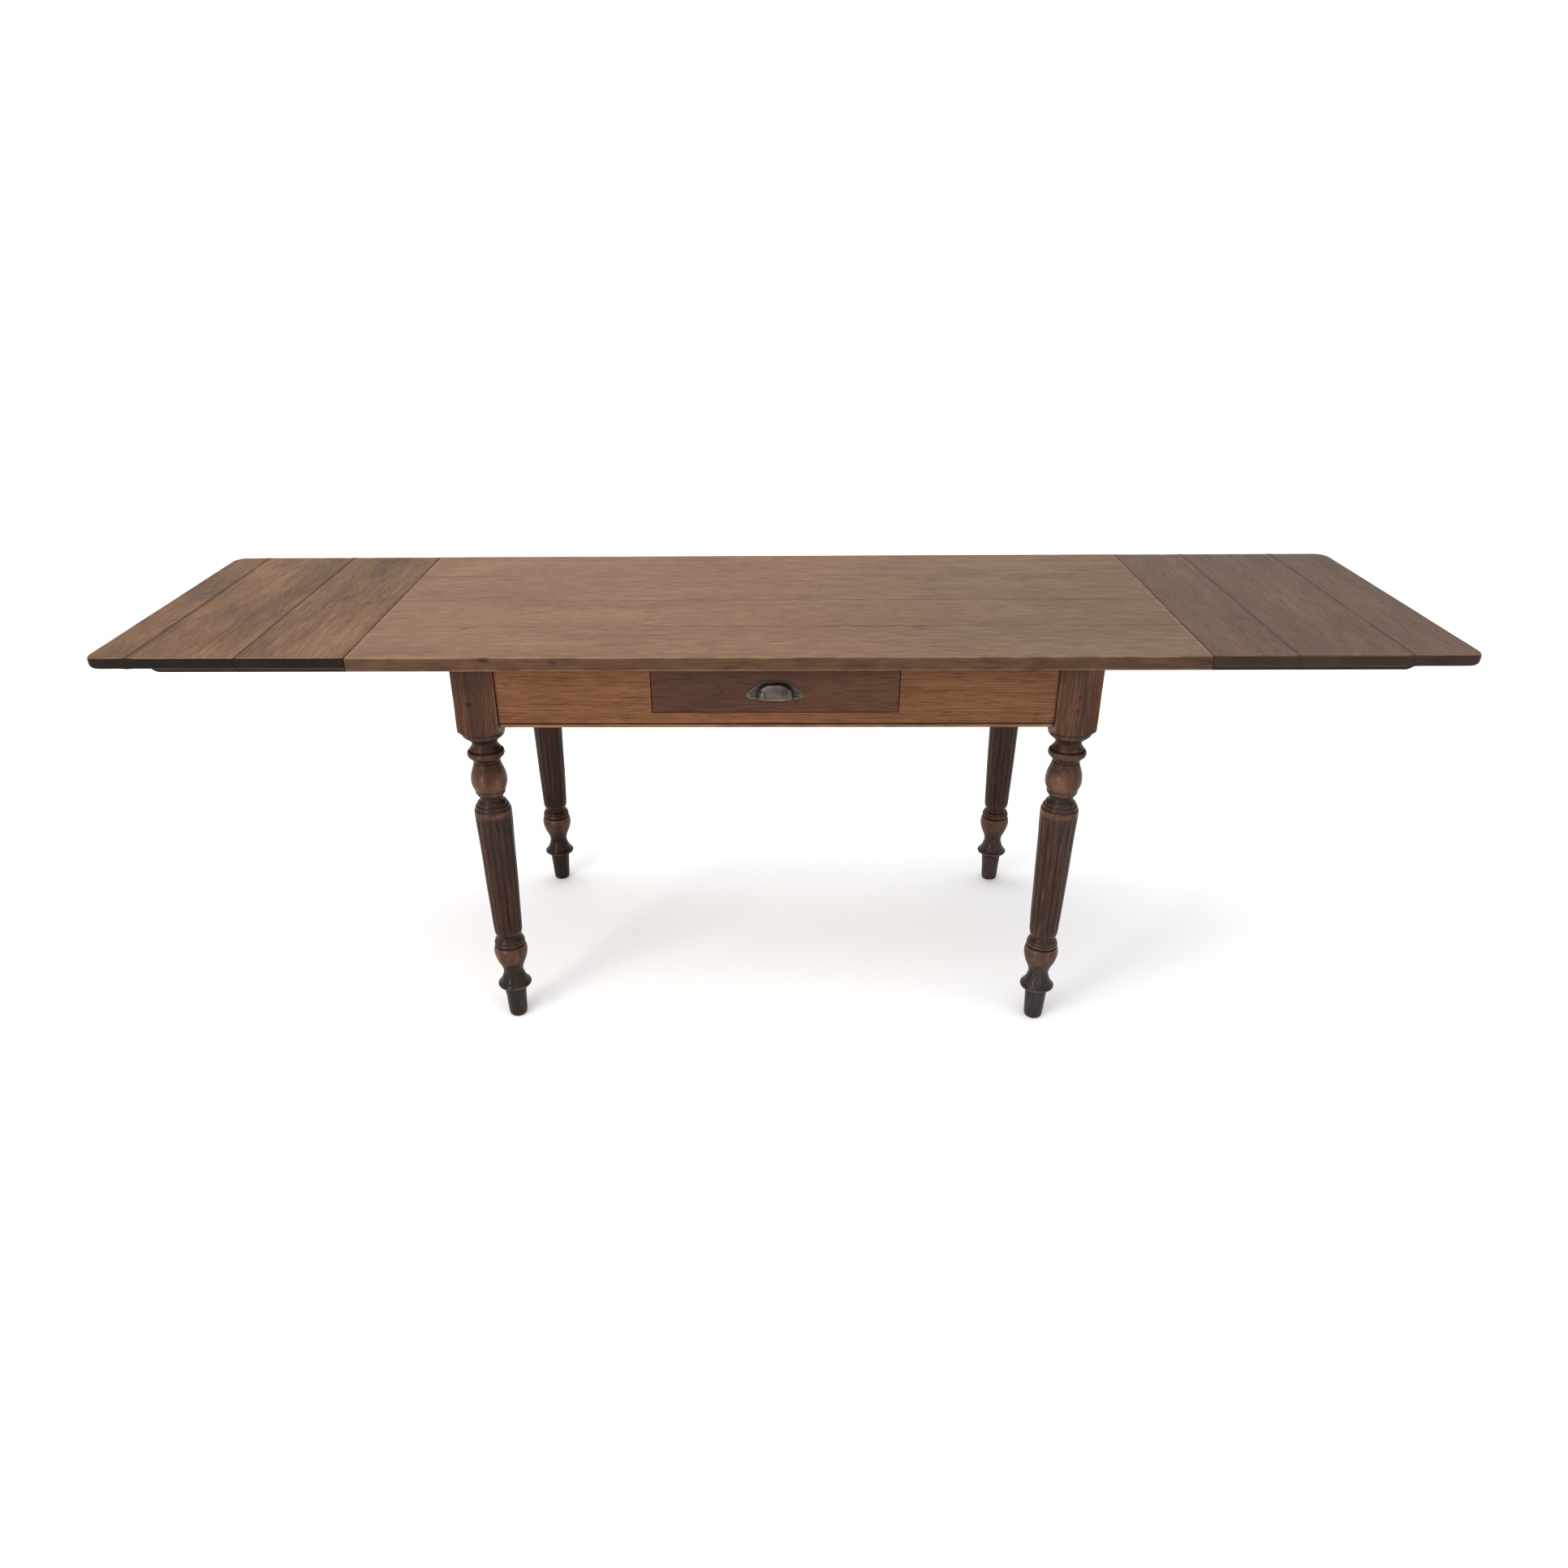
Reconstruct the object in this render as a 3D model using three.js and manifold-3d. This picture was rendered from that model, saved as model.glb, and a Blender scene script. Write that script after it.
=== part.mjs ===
// Extending dining table: a fixed centre top on four turned legs, one drawer in the front
// rail, and an end leaf at each side that rides on two bearers pushed into the frame.
// Millimetres, +Z up, front of the table towards -Y, long side along X.
// Origin: the middle of the table's footprint, on the floor.

import * as THREE from "three";
import { mergeVertices } from "three/addons/utils/BufferGeometryUtils.js";
import Module from "manifold-3d";

const wasm = await Module();
wasm.setup();

// ---------------------------------------------------------------- driving dimensions

const GAP = 0.3;                  // clearance between pieces that touch

const HEIGHT = 750;
const TOP_LENGTH = 1420;          // centre top, along X
const TOP_DEPTH = 650;            // along Y
const TOP_THICK = 24;
const TOP_BOARDS = [166, 158, 170, 156];      // board widths, front to back
const TOP_ARRIS = 2.5;            // worn rounding of the long edges

const LEAF_LENGTH = 440;          // along X, beyond the centre top
const LEAF_DEPTH = 648;
const LEAF_THICK = 19;
const LEAF_JOINT = 0.6;           // gap between the centre top and a leaf
const LEAF_CORNER = 28;           // plan radius of the outer corners
const LEFT_BOARDS = [183, 183, 74];           // board widths, from the centre outwards
const RIGHT_BOARDS = [138, 185, 117];
const BOARD_SEAM = 0.6;

const LEG_X = 507.5;              // leg axes
const LEG_Y = 273;
const BLOCK = 72;                 // square block at the head of each leg
const LEG_SEGMENTS = 16;

const RAIL_THICK = 22;
const RAIL_SETBACK = 4;           // rail face behind the leg block face
const RAIL_BOTTOM = 618;
const BEAD_RADIUS = 3.5;          // bead along the lower edge of each rail
const TENON_THICK = 10;
const TENON_LENGTH = 45;
const FRONT_TENON = [632, 712];   // heights of the tenon's edges
const END_TENON = [632, 686];

const PEG_RADIUS = 4.2;
const PEG_LENGTH = 28;
const PEG_HEIGHTS = [649, 673];
const PEG_REACH = 0.78;           // how far along the tenon the pegs stand
const PEG_PROUD = 0.5;

const BEARER_THICK = 35;
const BEARER_BOTTOM = 694.3;
const BEARER_INNER = 235;         // inner end, leaf pushed home
const BEARER_OUTER = 1096;        // outer end, under the leaf
const BEARER_SIDE_GAP = 0.7;      // running clearance at the leg and the notches
const BEARER_NOSE = 27;           // length of the rounded nose

const CROSS_RAIL_X = [245, 267];  // inner carrier of the bearers, between front and back rail

const OPENING_HALF = 208.5;       // drawer opening in the front rail
const OPENING_BOTTOM = 645.5;
const FRONT_HALF = 207.5;         // drawer front
const FRONT_HEIGHTS = [646.3, 724];
const FRONT_THICK = 20;
const DRAWER_DEPTH = 380;         // behind the drawer front's face
const SIDE_THICK = 12;
const SIDE_OUTER = 204;
const SIDE_HEIGHTS = [647.2, 714];
const BOTTOM_HEIGHTS = [656, 662];
const GROOVE_DEPTH = 6;
const GUIDE_TOP = 690;            // drawer guides stop below the bearers

const PULL_HALF = 31.5;           // cup of the drawer pull
const PULL_REACH = 16;
const PULL_HEIGHTS = [673, 700];
const PULL_WALL = 2.2;
const PLATE_THICK = 1.6;
const PLATE_HALF = 48;
const SCREW_X = 43;
const SCREW_Z = 677.5;

// derived levels
const TOP_UNDER = HEIGHT - TOP_THICK;
const LEAF_UNDER = HEIGHT - LEAF_THICK;
const RAIL_TOP = TOP_UNDER - GAP;
const TOP_END = TOP_LENGTH / 2;
const BLOCK_OUT_X = LEG_X + BLOCK / 2;
const BLOCK_IN_X = LEG_X - BLOCK / 2;
const BLOCK_OUT_Y = LEG_Y + BLOCK / 2;
const BLOCK_IN_Y = LEG_Y - BLOCK / 2;
const RAIL_FACE_Y = BLOCK_OUT_Y - RAIL_SETBACK;
const RAIL_FACE_X = BLOCK_OUT_X - RAIL_SETBACK;
const BEARER_FACE_Y = BLOCK_IN_Y - BEARER_SIDE_GAP;

// ---------------------------------------------------------------- materials

function wood(color, roughness) {
  return new THREE.MeshStandardMaterial({ color, roughness, metalness: 0 });
}

const topOak = wood(0x997b66, 0.62);
const leftLeafOak = wood(0x866a54, 0.6);
const rightLeafOak = wood(0x756357, 0.6);
const railOak = wood(0x80563c, 0.55);
const drawerOak = wood(0x5f4232, 0.5);
const legOak = wood(0x573d2e, 0.45);
const bearerOak = wood(0x4b392d, 0.7);
const innerWood = wood(0x8a6c4f, 0.8);
const pegOak = wood(0x40291d, 0.6);
const pewter = new THREE.MeshStandardMaterial({ color: 0x5a504b, roughness: 0.42, metalness: 0.9 });
const screwSteel = new THREE.MeshStandardMaterial({ color: 0x46403c, roughness: 0.45, metalness: 0.9 });

// ---------------------------------------------------------------- helpers

const table = new THREE.Group();
const frame = new THREE.Group();
const drawer = new THREE.Group();
const leaves = new THREE.Group();
table.add(frame, drawer, leaves);

function place(parent, name, geometry, material, x = 0, y = 0, z = 0) {
  const mesh = new THREE.Mesh(geometry, material);
  mesh.name = name;
  mesh.position.set(x, y, z);
  parent.add(mesh);
  return mesh;
}

// a box between two limits on each axis
function block([x0, x1], [y0, y1], [z0, z1]) {
  const geometry = new THREE.BoxGeometry(x1 - x0, y1 - y0, z1 - z0);
  return geometry.translate((x0 + x1) / 2, (y0 + y1) / 2, (z0 + z1) / 2);
}

// the same limits on the other side of zero
function mirrored(side, low, high) {
  return side > 0 ? [low, high] : [-high, -low];
}

// a (y, z) outline run along X between x0 and x1
function alongX(shape, x0, x1) {
  const geometry = new THREE.ExtrudeGeometry(shape, { depth: x1 - x0, bevelEnabled: false });
  const axes = new THREE.Matrix4().makeBasis(
    new THREE.Vector3(0, 1, 0),
    new THREE.Vector3(0, 0, 1),
    new THREE.Vector3(1, 0, 0),
  );
  return geometry.applyMatrix4(axes).translate(x0, 0, 0);
}

// an (x, z) outline run along Y between y0 and y1
function alongY(shape, y0, y1) {
  const geometry = new THREE.ExtrudeGeometry(shape, { depth: y1 - y0, bevelEnabled: false });
  const axes = new THREE.Matrix4().makeBasis(
    new THREE.Vector3(1, 0, 0),
    new THREE.Vector3(0, 0, 1),
    new THREE.Vector3(0, -1, 0),
  );
  return geometry.applyMatrix4(axes).translate(0, y1, 0);
}

// an (x, y) outline run upwards between z0 and z1
function alongZ(shape, z0, z1) {
  const geometry = new THREE.ExtrudeGeometry(shape, { depth: z1 - z0, bevelEnabled: false });
  return geometry.translate(0, 0, z0);
}

function outline(points) {
  return new THREE.Shape(points.map(([u, v]) => new THREE.Vector2(u, v)));
}

// points of an elliptical arc, angles in degrees
function arc(u, v, ru, rv, from, to, steps) {
  const points = [];
  for (let i = 0; i <= steps; i += 1) {
    const angle = THREE.MathUtils.degToRad(from + (to - from) * i / steps);
    points.push([u + ru * Math.cos(angle), v + rv * Math.sin(angle)]);
  }
  return points;
}

function toSolid(geometry) {
  const bare = geometry.index ? geometry.toNonIndexed() : geometry.clone();
  bare.deleteAttribute("normal");
  bare.deleteAttribute("uv");
  const merged = mergeVertices(bare, 1e-3);
  return new wasm.Manifold(new wasm.Mesh({
    numProp: 3,
    vertProperties: new Float32Array(merged.attributes.position.array),
    triVerts: new Uint32Array(merged.index.array),
  }));
}

function toGeometry(solid) {
  const mesh = solid.getMesh();
  const geometry = new THREE.BufferGeometry();
  geometry.setAttribute("position", new THREE.BufferAttribute(new Float32Array(mesh.vertProperties), 3));
  geometry.setIndex(new THREE.BufferAttribute(new Uint32Array(mesh.triVerts), 1));
  geometry.computeVertexNormals();
  return geometry;
}

// one geometry less several others
function cut(geometry, tools) {
  let solid = toSolid(geometry);
  for (const tool of tools) {
    solid = solid.subtract(toSolid(tool));
  }
  return toGeometry(solid);
}

function join(parts) {
  let solid = toSolid(parts[0]);
  for (const part of parts.slice(1)) {
    solid = solid.add(toSolid(part));
  }
  return toGeometry(solid);
}

function grown([low, high], margin) {
  return [low - margin, high + margin];
}

// a rod lying along X or Y, centred on the origin
function rod(axis, radius, length) {
  const geometry = new THREE.CylinderGeometry(radius, radius, length, 8);
  return axis === "x" ? geometry.rotateZ(Math.PI / 2) : geometry;
}

// ---------------------------------------------------------------- centre top

// section of a top board in (y, z); the outermost boards have a rounded outer edge
function topBoardSection(y0, y1, roundFront, roundBack) {
  const r = TOP_ARRIS;
  const points = [];
  if (roundFront) {
    points.push(...arc(y0 + r, HEIGHT - r, r, r, 90, 180, 2));
    points.push(...arc(y0 + r, TOP_UNDER + r, r, r, 180, 270, 2));
  } else {
    points.push([y0, HEIGHT], [y0, TOP_UNDER]);
  }
  if (roundBack) {
    points.push(...arc(y1 - r, TOP_UNDER + r, r, r, 270, 360, 2));
    points.push(...arc(y1 - r, HEIGHT - r, r, r, 0, 90, 2));
  } else {
    points.push([y1, TOP_UNDER], [y1, HEIGHT]);
  }
  return outline(points);
}

let boardStart = -TOP_DEPTH / 2;
TOP_BOARDS.forEach((width, i) => {
  const first = i === 0;
  const last = i === TOP_BOARDS.length - 1;
  const y0 = boardStart + (first ? 0 : GAP / 2);
  const y1 = boardStart + width - (last ? 0 : GAP / 2);
  const section = topBoardSection(y0, y1, first, last);
  place(frame, `top_board_${i + 1}`, alongX(section, -TOP_END, TOP_END), topOak);
  boardStart += width;
});

// ---------------------------------------------------------------- legs

// the turning, from the floor up: [radius, height]
const turning = [
  [0, 0],
  [15, 0],
  [17.4, 8],
  [19.6, 44],
  [21.4, 64],
  [27.5, 69],
  [32, 72.8],
  [29.6, 76.5],
  [23.6, 85],
  [19.6, 97],
  [19.1, 105],
  [22.2, 117],
  [28, 131],
  [31.6, 149],
  [29.3, 161],
  [27.2, 164.5],
  [28, 172],
  [23.4, 179],
  [22.4, 185],
  [25.4, 190],
  [29.6, 300],
  [33.5, 440],
  [32.9, 451],
  [28.2, 461],
  [22, 470],
  [21.4, 477],
  [26.6, 484],
  [27.4, 490],
  [31.6, 503],
  [32, 510],
  [30.7, 520],
  [24.5, 540],
  [23.6, 545],
  [27.9, 552],
  [32.5, 557.5],
  [32.5, 562],
  [27.4, 568],
  [23.4, 577],
  [23.2, 582],
  [28, 588],
  [36.4, 595.5],
  [39, 603],
  [47, 611],
  [56, 616],
  [56, RAIL_TOP],
  [0, RAIL_TOP],
];

// the leg on its own axis: the turning, squared at the head
function legBlank() {
  const points = turning.map(([radius, height]) => new THREE.Vector2(radius, height));
  const round = new THREE.LatheGeometry(points, LEG_SEGMENTS).rotateX(Math.PI / 2);
  const half = BLOCK / 2;
  const square = block([-half, half], [-half, half], [-1, HEIGHT]);
  return toGeometry(toSolid(round).intersect(toSolid(square)));
}

// mortises and peg holes of one leg, in the table's own position
function legTools(sideX, sideY) {
  const tools = [];
  const front = mirrored(sideY, RAIL_FACE_Y - RAIL_THICK / 2 - TENON_THICK / 2,
    RAIL_FACE_Y - RAIL_THICK / 2 + TENON_THICK / 2);
  const frontReach = mirrored(sideX, BLOCK_IN_X - 2, BLOCK_IN_X + TENON_LENGTH + GAP);
  tools.push(block(frontReach, grown(front, GAP), grown(FRONT_TENON, GAP)));

  const end = mirrored(sideX, RAIL_FACE_X - RAIL_THICK / 2 - TENON_THICK / 2,
    RAIL_FACE_X - RAIL_THICK / 2 + TENON_THICK / 2);
  const endReach = mirrored(sideY, BLOCK_IN_Y - 2, BLOCK_IN_Y + TENON_LENGTH + GAP);
  tools.push(block(grown(end, GAP), endReach, grown(END_TENON, GAP)));

  for (const peg of pegsOfLeg(sideX, sideY)) {
    tools.push(rod(peg.axis, PEG_RADIUS + GAP, PEG_LENGTH * 2 + 1)
      .translate(peg.mouth[0], peg.mouth[1], peg.mouth[2]));
  }
  return tools;
}

// the four pegs that lock a leg's two tenons; mouth is the peg hole's centre on the leg face
function pegsOfLeg(sideX, sideY) {
  const pegs = [];
  PEG_HEIGHTS.forEach((z, i) => {
    pegs.push({
      name: `long_${i + 1}`,
      axis: "y",
      mouth: [sideX * (BLOCK_IN_X + TENON_LENGTH * PEG_REACH + i), sideY * BLOCK_OUT_Y, z],
    });
    pegs.push({
      name: `end_${i + 1}`,
      axis: "x",
      mouth: [sideX * BLOCK_OUT_X, sideY * (BLOCK_IN_Y + TENON_LENGTH * PEG_REACH + i), z],
    });
  });
  return pegs;
}

const LEGS = [
  ["front_left", -1, -1],
  ["front_right", 1, -1],
  ["back_left", -1, 1],
  ["back_right", 1, 1],
];

const blank = legBlank();
for (const [corner, sideX, sideY] of LEGS) {
  const x = sideX * LEG_X;
  const y = sideY * LEG_Y;
  const tools = legTools(sideX, sideY).map((tool) => tool.translate(-x, -y, 0));
  place(frame, `leg_${corner}`, cut(blank, tools), legOak, x, y, 0);

  for (const peg of pegsOfLeg(sideX, sideY)) {
    const inward = PEG_LENGTH / 2 - PEG_PROUD;
    const px = peg.mouth[0] - (peg.axis === "x" ? sideX * inward : 0);
    const py = peg.mouth[1] - (peg.axis === "y" ? sideY * inward : 0);
    place(frame, `peg_${corner}_${peg.name}`, rod(peg.axis, PEG_RADIUS, PEG_LENGTH), pegOak,
      px, py, peg.mouth[2]);
  }
}

// ---------------------------------------------------------------- rails

// rail section with a bead under a small groove; u grows outwards from the inner face
function railSection(place2d) {
  const r = BEAD_RADIUS;
  const t = RAIL_THICK;
  const beadTop = RAIL_BOTTOM + 2 * r;
  const points = [
    [0, RAIL_TOP],
    [0, RAIL_BOTTOM],
    ...arc(t - r, RAIL_BOTTOM + r, r, r, 270, 450, 4),
    [t - r, beadTop + 2],
    [t, beadTop + 2],
    [t, RAIL_TOP],
  ];
  return outline(points.map(([u, z]) => [place2d(u), z]));
}

function pegHolesOfRail(axis, sideX, sideY) {
  return pegsOfLeg(sideX, sideY)
    .filter((peg) => peg.axis === axis)
    .map((peg) => rod(peg.axis, PEG_RADIUS + GAP, PEG_LENGTH * 2 + 1)
      .translate(peg.mouth[0], peg.mouth[1], peg.mouth[2]));
}

function longRail(name, sideY, cuts) {
  const half = BLOCK_IN_X - GAP;
  const inner = sideY * (RAIL_FACE_Y - RAIL_THICK);
  const body = alongX(railSection((u) => inner + sideY * u), -half, half);
  const middle = RAIL_FACE_Y - RAIL_THICK / 2;
  const cheeks = mirrored(sideY, middle - TENON_THICK / 2, middle + TENON_THICK / 2);
  const reach = BLOCK_IN_X + TENON_LENGTH;
  const tenons = [-1, 1].map((sideX) => block(mirrored(sideX, half - 2, reach), cheeks, FRONT_TENON));
  const holes = [-1, 1].flatMap((sideX) => pegHolesOfRail("y", sideX, sideY));
  const rail = join([body, ...tenons]);
  place(frame, name, cut(rail, [...holes, ...cuts]), railOak);
}

const drawerOpening = block(
  [-OPENING_HALF, OPENING_HALF],
  [-RAIL_FACE_Y - 5, -RAIL_FACE_Y + RAIL_THICK + 5],
  [OPENING_BOTTOM, HEIGHT],
);
longRail("front_rail", -1, [drawerOpening]);
longRail("back_rail", 1, []);

// notch that lets a bearer through, open to the top and to the leg beside it
function bearerNotch(xLimits, sideY, outerY) {
  const innerY = BEARER_FACE_Y - BEARER_THICK - BEARER_SIDE_GAP;
  return block(xLimits, mirrored(sideY, innerY, outerY), [BEARER_BOTTOM - GAP, HEIGHT]);
}

function endRail(name, sideX) {
  const half = BLOCK_IN_Y - GAP;
  const inner = sideX * (RAIL_FACE_X - RAIL_THICK);
  const body = alongY(railSection((u) => inner + sideX * u), -half, half);
  const middle = RAIL_FACE_X - RAIL_THICK / 2;
  const cheeks = mirrored(sideX, middle - TENON_THICK / 2, middle + TENON_THICK / 2);
  const reach = BLOCK_IN_Y + TENON_LENGTH;
  const tenons = [-1, 1].map((sideY) => block(cheeks, mirrored(sideY, half - 2, reach), END_TENON));
  const holes = [-1, 1].flatMap((sideY) => pegHolesOfRail("x", sideX, sideY));
  const across = mirrored(sideX, RAIL_FACE_X - RAIL_THICK - 5, RAIL_FACE_X + 5);
  const notches = [-1, 1].map((sideY) => bearerNotch(across, sideY, BLOCK_IN_Y + 5));
  place(frame, name, cut(join([body, ...tenons]), [...holes, ...notches]), railOak);
}

endRail("end_rail_left", -1);
endRail("end_rail_right", 1);

// cross rails between the front and back rails; their notches hold the bearers' inner ends
const innerHalfY = RAIL_FACE_Y - RAIL_THICK - GAP;
for (const [name, sideX] of [["cross_rail_left", -1], ["cross_rail_right", 1]]) {
  const x = mirrored(sideX, CROSS_RAIL_X[0], CROSS_RAIL_X[1]);
  const body = block(x, [-innerHalfY, innerHalfY], [628, RAIL_TOP]);
  const outer = BEARER_FACE_Y + BEARER_SIDE_GAP;
  const notches = [-1, 1].map((sideY) => bearerNotch(grown(x, 5), sideY, outer));
  place(frame, name, cut(body, notches), innerWood);
}

// ---------------------------------------------------------------- drawer carcase in the frame

// L-shaped runner: the drawer's side slides on its foot, beside its upright guide
for (const [name, sideX] of [["drawer_runner_left", -1], ["drawer_runner_right", 1]]) {
  const foot = SIDE_HEIGHTS[0] - 0.4;
  const section = outline([
    [188, 628],
    [CROSS_RAIL_X[0] - GAP, 628],
    [CROSS_RAIL_X[0] - GAP, GUIDE_TOP],
    [SIDE_OUTER + 1.2, GUIDE_TOP],
    [SIDE_OUTER + 1.2, foot],
    [188, foot],
  ].map(([x, z]) => [sideX * x, z]));
  place(frame, name, alongY(section, -innerHalfY, innerHalfY), innerWood);
}

const drawerFace = -RAIL_FACE_Y;
const drawerEnd = drawerFace + DRAWER_DEPTH;
for (const [name, sideX] of [["drawer_stop_left", -1], ["drawer_stop_right", 1]]) {
  const stop = block(
    mirrored(sideX, 189, SIDE_OUTER),
    [drawerEnd + 0.5, drawerEnd + 18],
    [SIDE_HEIGHTS[0] - 0.4 + GAP, 665],
  );
  place(frame, name, stop, innerWood);
}

// triangular glue blocks that hold the centre top down on the long rails
function glueBlock(name, sideY, x) {
  const wall = sideY * innerHalfY;
  const section = outline([
    [wall, RAIL_TOP],
    [wall - sideY * 28, RAIL_TOP],
    [wall, RAIL_TOP - 28],
  ]);
  place(frame, name, alongX(section, x - 30, x + 30), innerWood);
}

glueBlock("glue_block_front_left", -1, -370);
glueBlock("glue_block_front_right", -1, 370);
glueBlock("glue_block_back_left", 1, -370);
glueBlock("glue_block_back_middle", 1, 0);
glueBlock("glue_block_back_right", 1, 370);

// ---------------------------------------------------------------- drawer

const lap = 12;                   // the sides run into the front by this much less the face
const rebate = drawerFace + FRONT_THICK - lap;
const frontBack = drawerFace + FRONT_THICK;
const frontPlan = outline([
  [-FRONT_HALF, drawerFace],
  [FRONT_HALF, drawerFace],
  [FRONT_HALF, rebate],
  [SIDE_OUTER - SIDE_THICK - GAP, rebate],
  [SIDE_OUTER - SIDE_THICK - GAP, frontBack],
  [-SIDE_OUTER + SIDE_THICK + GAP, frontBack],
  [-SIDE_OUTER + SIDE_THICK + GAP, rebate],
  [-FRONT_HALF, rebate],
]);
const pullScrews = [["left", -1], ["right", 1]];
const screwHoles = pullScrews.map(([, side]) => rod("y", 2.2, 40)
  .translate(side * SCREW_X, drawerFace, SCREW_Z));
place(drawer, "drawer_front", cut(alongZ(frontPlan, ...FRONT_HEIGHTS), screwHoles), drawerOak);

for (const [name, side] of [["drawer_side_left", -1], ["drawer_side_right", 1]]) {
  const inner = SIDE_OUTER - SIDE_THICK;
  const section = outline([
    [SIDE_OUTER, SIDE_HEIGHTS[0]],
    [SIDE_OUTER, SIDE_HEIGHTS[1]],
    [inner, SIDE_HEIGHTS[1]],
    [inner, BOTTOM_HEIGHTS[1] + GAP],
    [inner + GROOVE_DEPTH, BOTTOM_HEIGHTS[1] + GAP],
    [inner + GROOVE_DEPTH, BOTTOM_HEIGHTS[0] - GAP],
    [inner, BOTTOM_HEIGHTS[0] - GAP],
    [inner, SIDE_HEIGHTS[0]],
  ].map(([x, z]) => [side * x, z]));
  place(drawer, name, alongY(section, rebate + GAP, drawerEnd), innerWood);
}

const insideHalf = SIDE_OUTER - SIDE_THICK - GAP;
const bottomHalf = SIDE_OUTER - SIDE_THICK + GROOVE_DEPTH - GAP;
const backLimits = [drawerEnd - 14, drawerEnd - 2];
place(drawer, "drawer_back",
  block([-insideHalf, insideHalf], backLimits, [BOTTOM_HEIGHTS[1] + GAP, 708]), innerWood);
place(drawer, "drawer_bottom",
  block([-bottomHalf, bottomHalf], [frontBack + GAP, drawerEnd - 1], BOTTOM_HEIGHTS), innerWood);

// cup pull: a shell with a broad, squared-off front, on a plate with a pointed ear at each end
const CUP_PLAN = 2.8;              // how square the cup is seen from above; 2 is an ellipse
const CUP_DOME = 2.5;              // how square it is seen from the side

// how far a point moves out when the circle it lies on is squared off
function squaredOff(a, b, power) {
  const reach = (Math.abs(a) ** power + Math.abs(b) ** power) ** (1 / power);
  return reach > 1e-9 ? Math.hypot(a, b) / reach : 1;
}

function cupHalf(half, reach, rise, yBack) {
  const ball = new THREE.SphereGeometry(1, 24, 12).rotateX(Math.PI / 2);
  const points = ball.attributes.position;
  for (let i = 0; i < points.count; i++) {
    const [x, y, z] = [points.getX(i), points.getY(i), points.getZ(i)];
    const dome = squaredOff(Math.hypot(x, y), z, CUP_DOME);
    const plan = squaredOff(x, y, CUP_PLAN) * dome;
    points.setXYZ(i, half * x * plan, reach * y * plan, rise * z * dome);
  }
  ball.translate(0, yBack, PULL_HEIGHTS[0]);
  const room = block([-60, 60], [yBack - 40, yBack], [PULL_HEIGHTS[0], PULL_HEIGHTS[0] + 60]);
  return toSolid(ball).intersect(toSolid(room));
}

const plateFront = drawerFace - GAP - PLATE_THICK;
const rise = PULL_HEIGHTS[1] - PULL_HEIGHTS[0];
const cup = cupHalf(PULL_HALF, PULL_REACH, rise, plateFront + 0.2);
const hollow = cupHalf(PULL_HALF - PULL_WALL, PULL_REACH - PULL_WALL, rise - PULL_WALL, plateFront);
const plateOutline = outline([
  [-20, PULL_HEIGHTS[1] + 1],
  [-PLATE_HALF, SCREW_Z + 3],
  [-PLATE_HALF, SCREW_Z - 3],
  [-38, PULL_HEIGHTS[0] - 2],
  [38, PULL_HEIGHTS[0] - 2],
  [PLATE_HALF, SCREW_Z - 3],
  [PLATE_HALF, SCREW_Z + 3],
  [20, PULL_HEIGHTS[1] + 1],
]);
let pull = toSolid(alongY(plateOutline, plateFront, drawerFace - GAP)).add(cup).subtract(hollow);
for (const [, side] of pullScrews) {
  pull = pull.subtract(toSolid(rod("y", 2.2, 40).translate(side * SCREW_X, drawerFace, SCREW_Z)));
}
place(drawer, "drawer_pull", toGeometry(pull), pewter);

const screwProfile = [
  [0, 0],
  [1.9, 1.5],
  [1.9, 15],
  [3.6, 15],
  [3.2, 16.2],
  [1.6, 17],
  [0, 17],
].map(([r, l]) => new THREE.Vector2(r, l));
for (const [name, side] of pullScrews) {
  const screw = new THREE.LatheGeometry(screwProfile, 8).rotateX(Math.PI);
  const headSeat = plateFront - GAP;
  place(drawer, `pull_screw_${name}`, screw, screwSteel, side * SCREW_X, headSeat + 15, SCREW_Z);
}

// ---------------------------------------------------------------- end leaves

// a leaf board; the outermost one has rounded outer corners
function leafBoard(side, x0, x1, outermost) {
  const half = LEAF_DEPTH / 2;
  const r = LEAF_CORNER;
  const points = outermost
    ? [
      [x0, -half],
      ...arc(x1 - r, -half + r, r, r, -90, 0, 6),
      ...arc(x1 - r, half - r, r, r, 0, 90, 6),
      [x0, half],
    ]
    : [[x0, -half], [x1, -half], [x1, half], [x0, half]];
  return alongZ(outline(points.map(([x, y]) => [side * x, y])), LEAF_UNDER, HEIGHT);
}

// side view of a bearer: stepped down where it passes under the centre top, rounded nose outside
function bearerProfile(side) {
  const upper = LEAF_UNDER - GAP;
  const lower = TOP_UNDER - GAP - 0.3;
  const step = TOP_END + LEAF_JOINT;
  const noseStart = BEARER_OUTER - BEARER_NOSE;
  const points = [
    [BEARER_INNER, lower],
    [step, lower],
    [step, upper],
    ...arc(noseStart, upper, BEARER_NOSE, upper - BEARER_BOTTOM, 0, -90, 5),
    [BEARER_INNER, BEARER_BOTTOM],
  ];
  return outline(points.map(([x, z]) => [side * x, z]));
}

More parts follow.
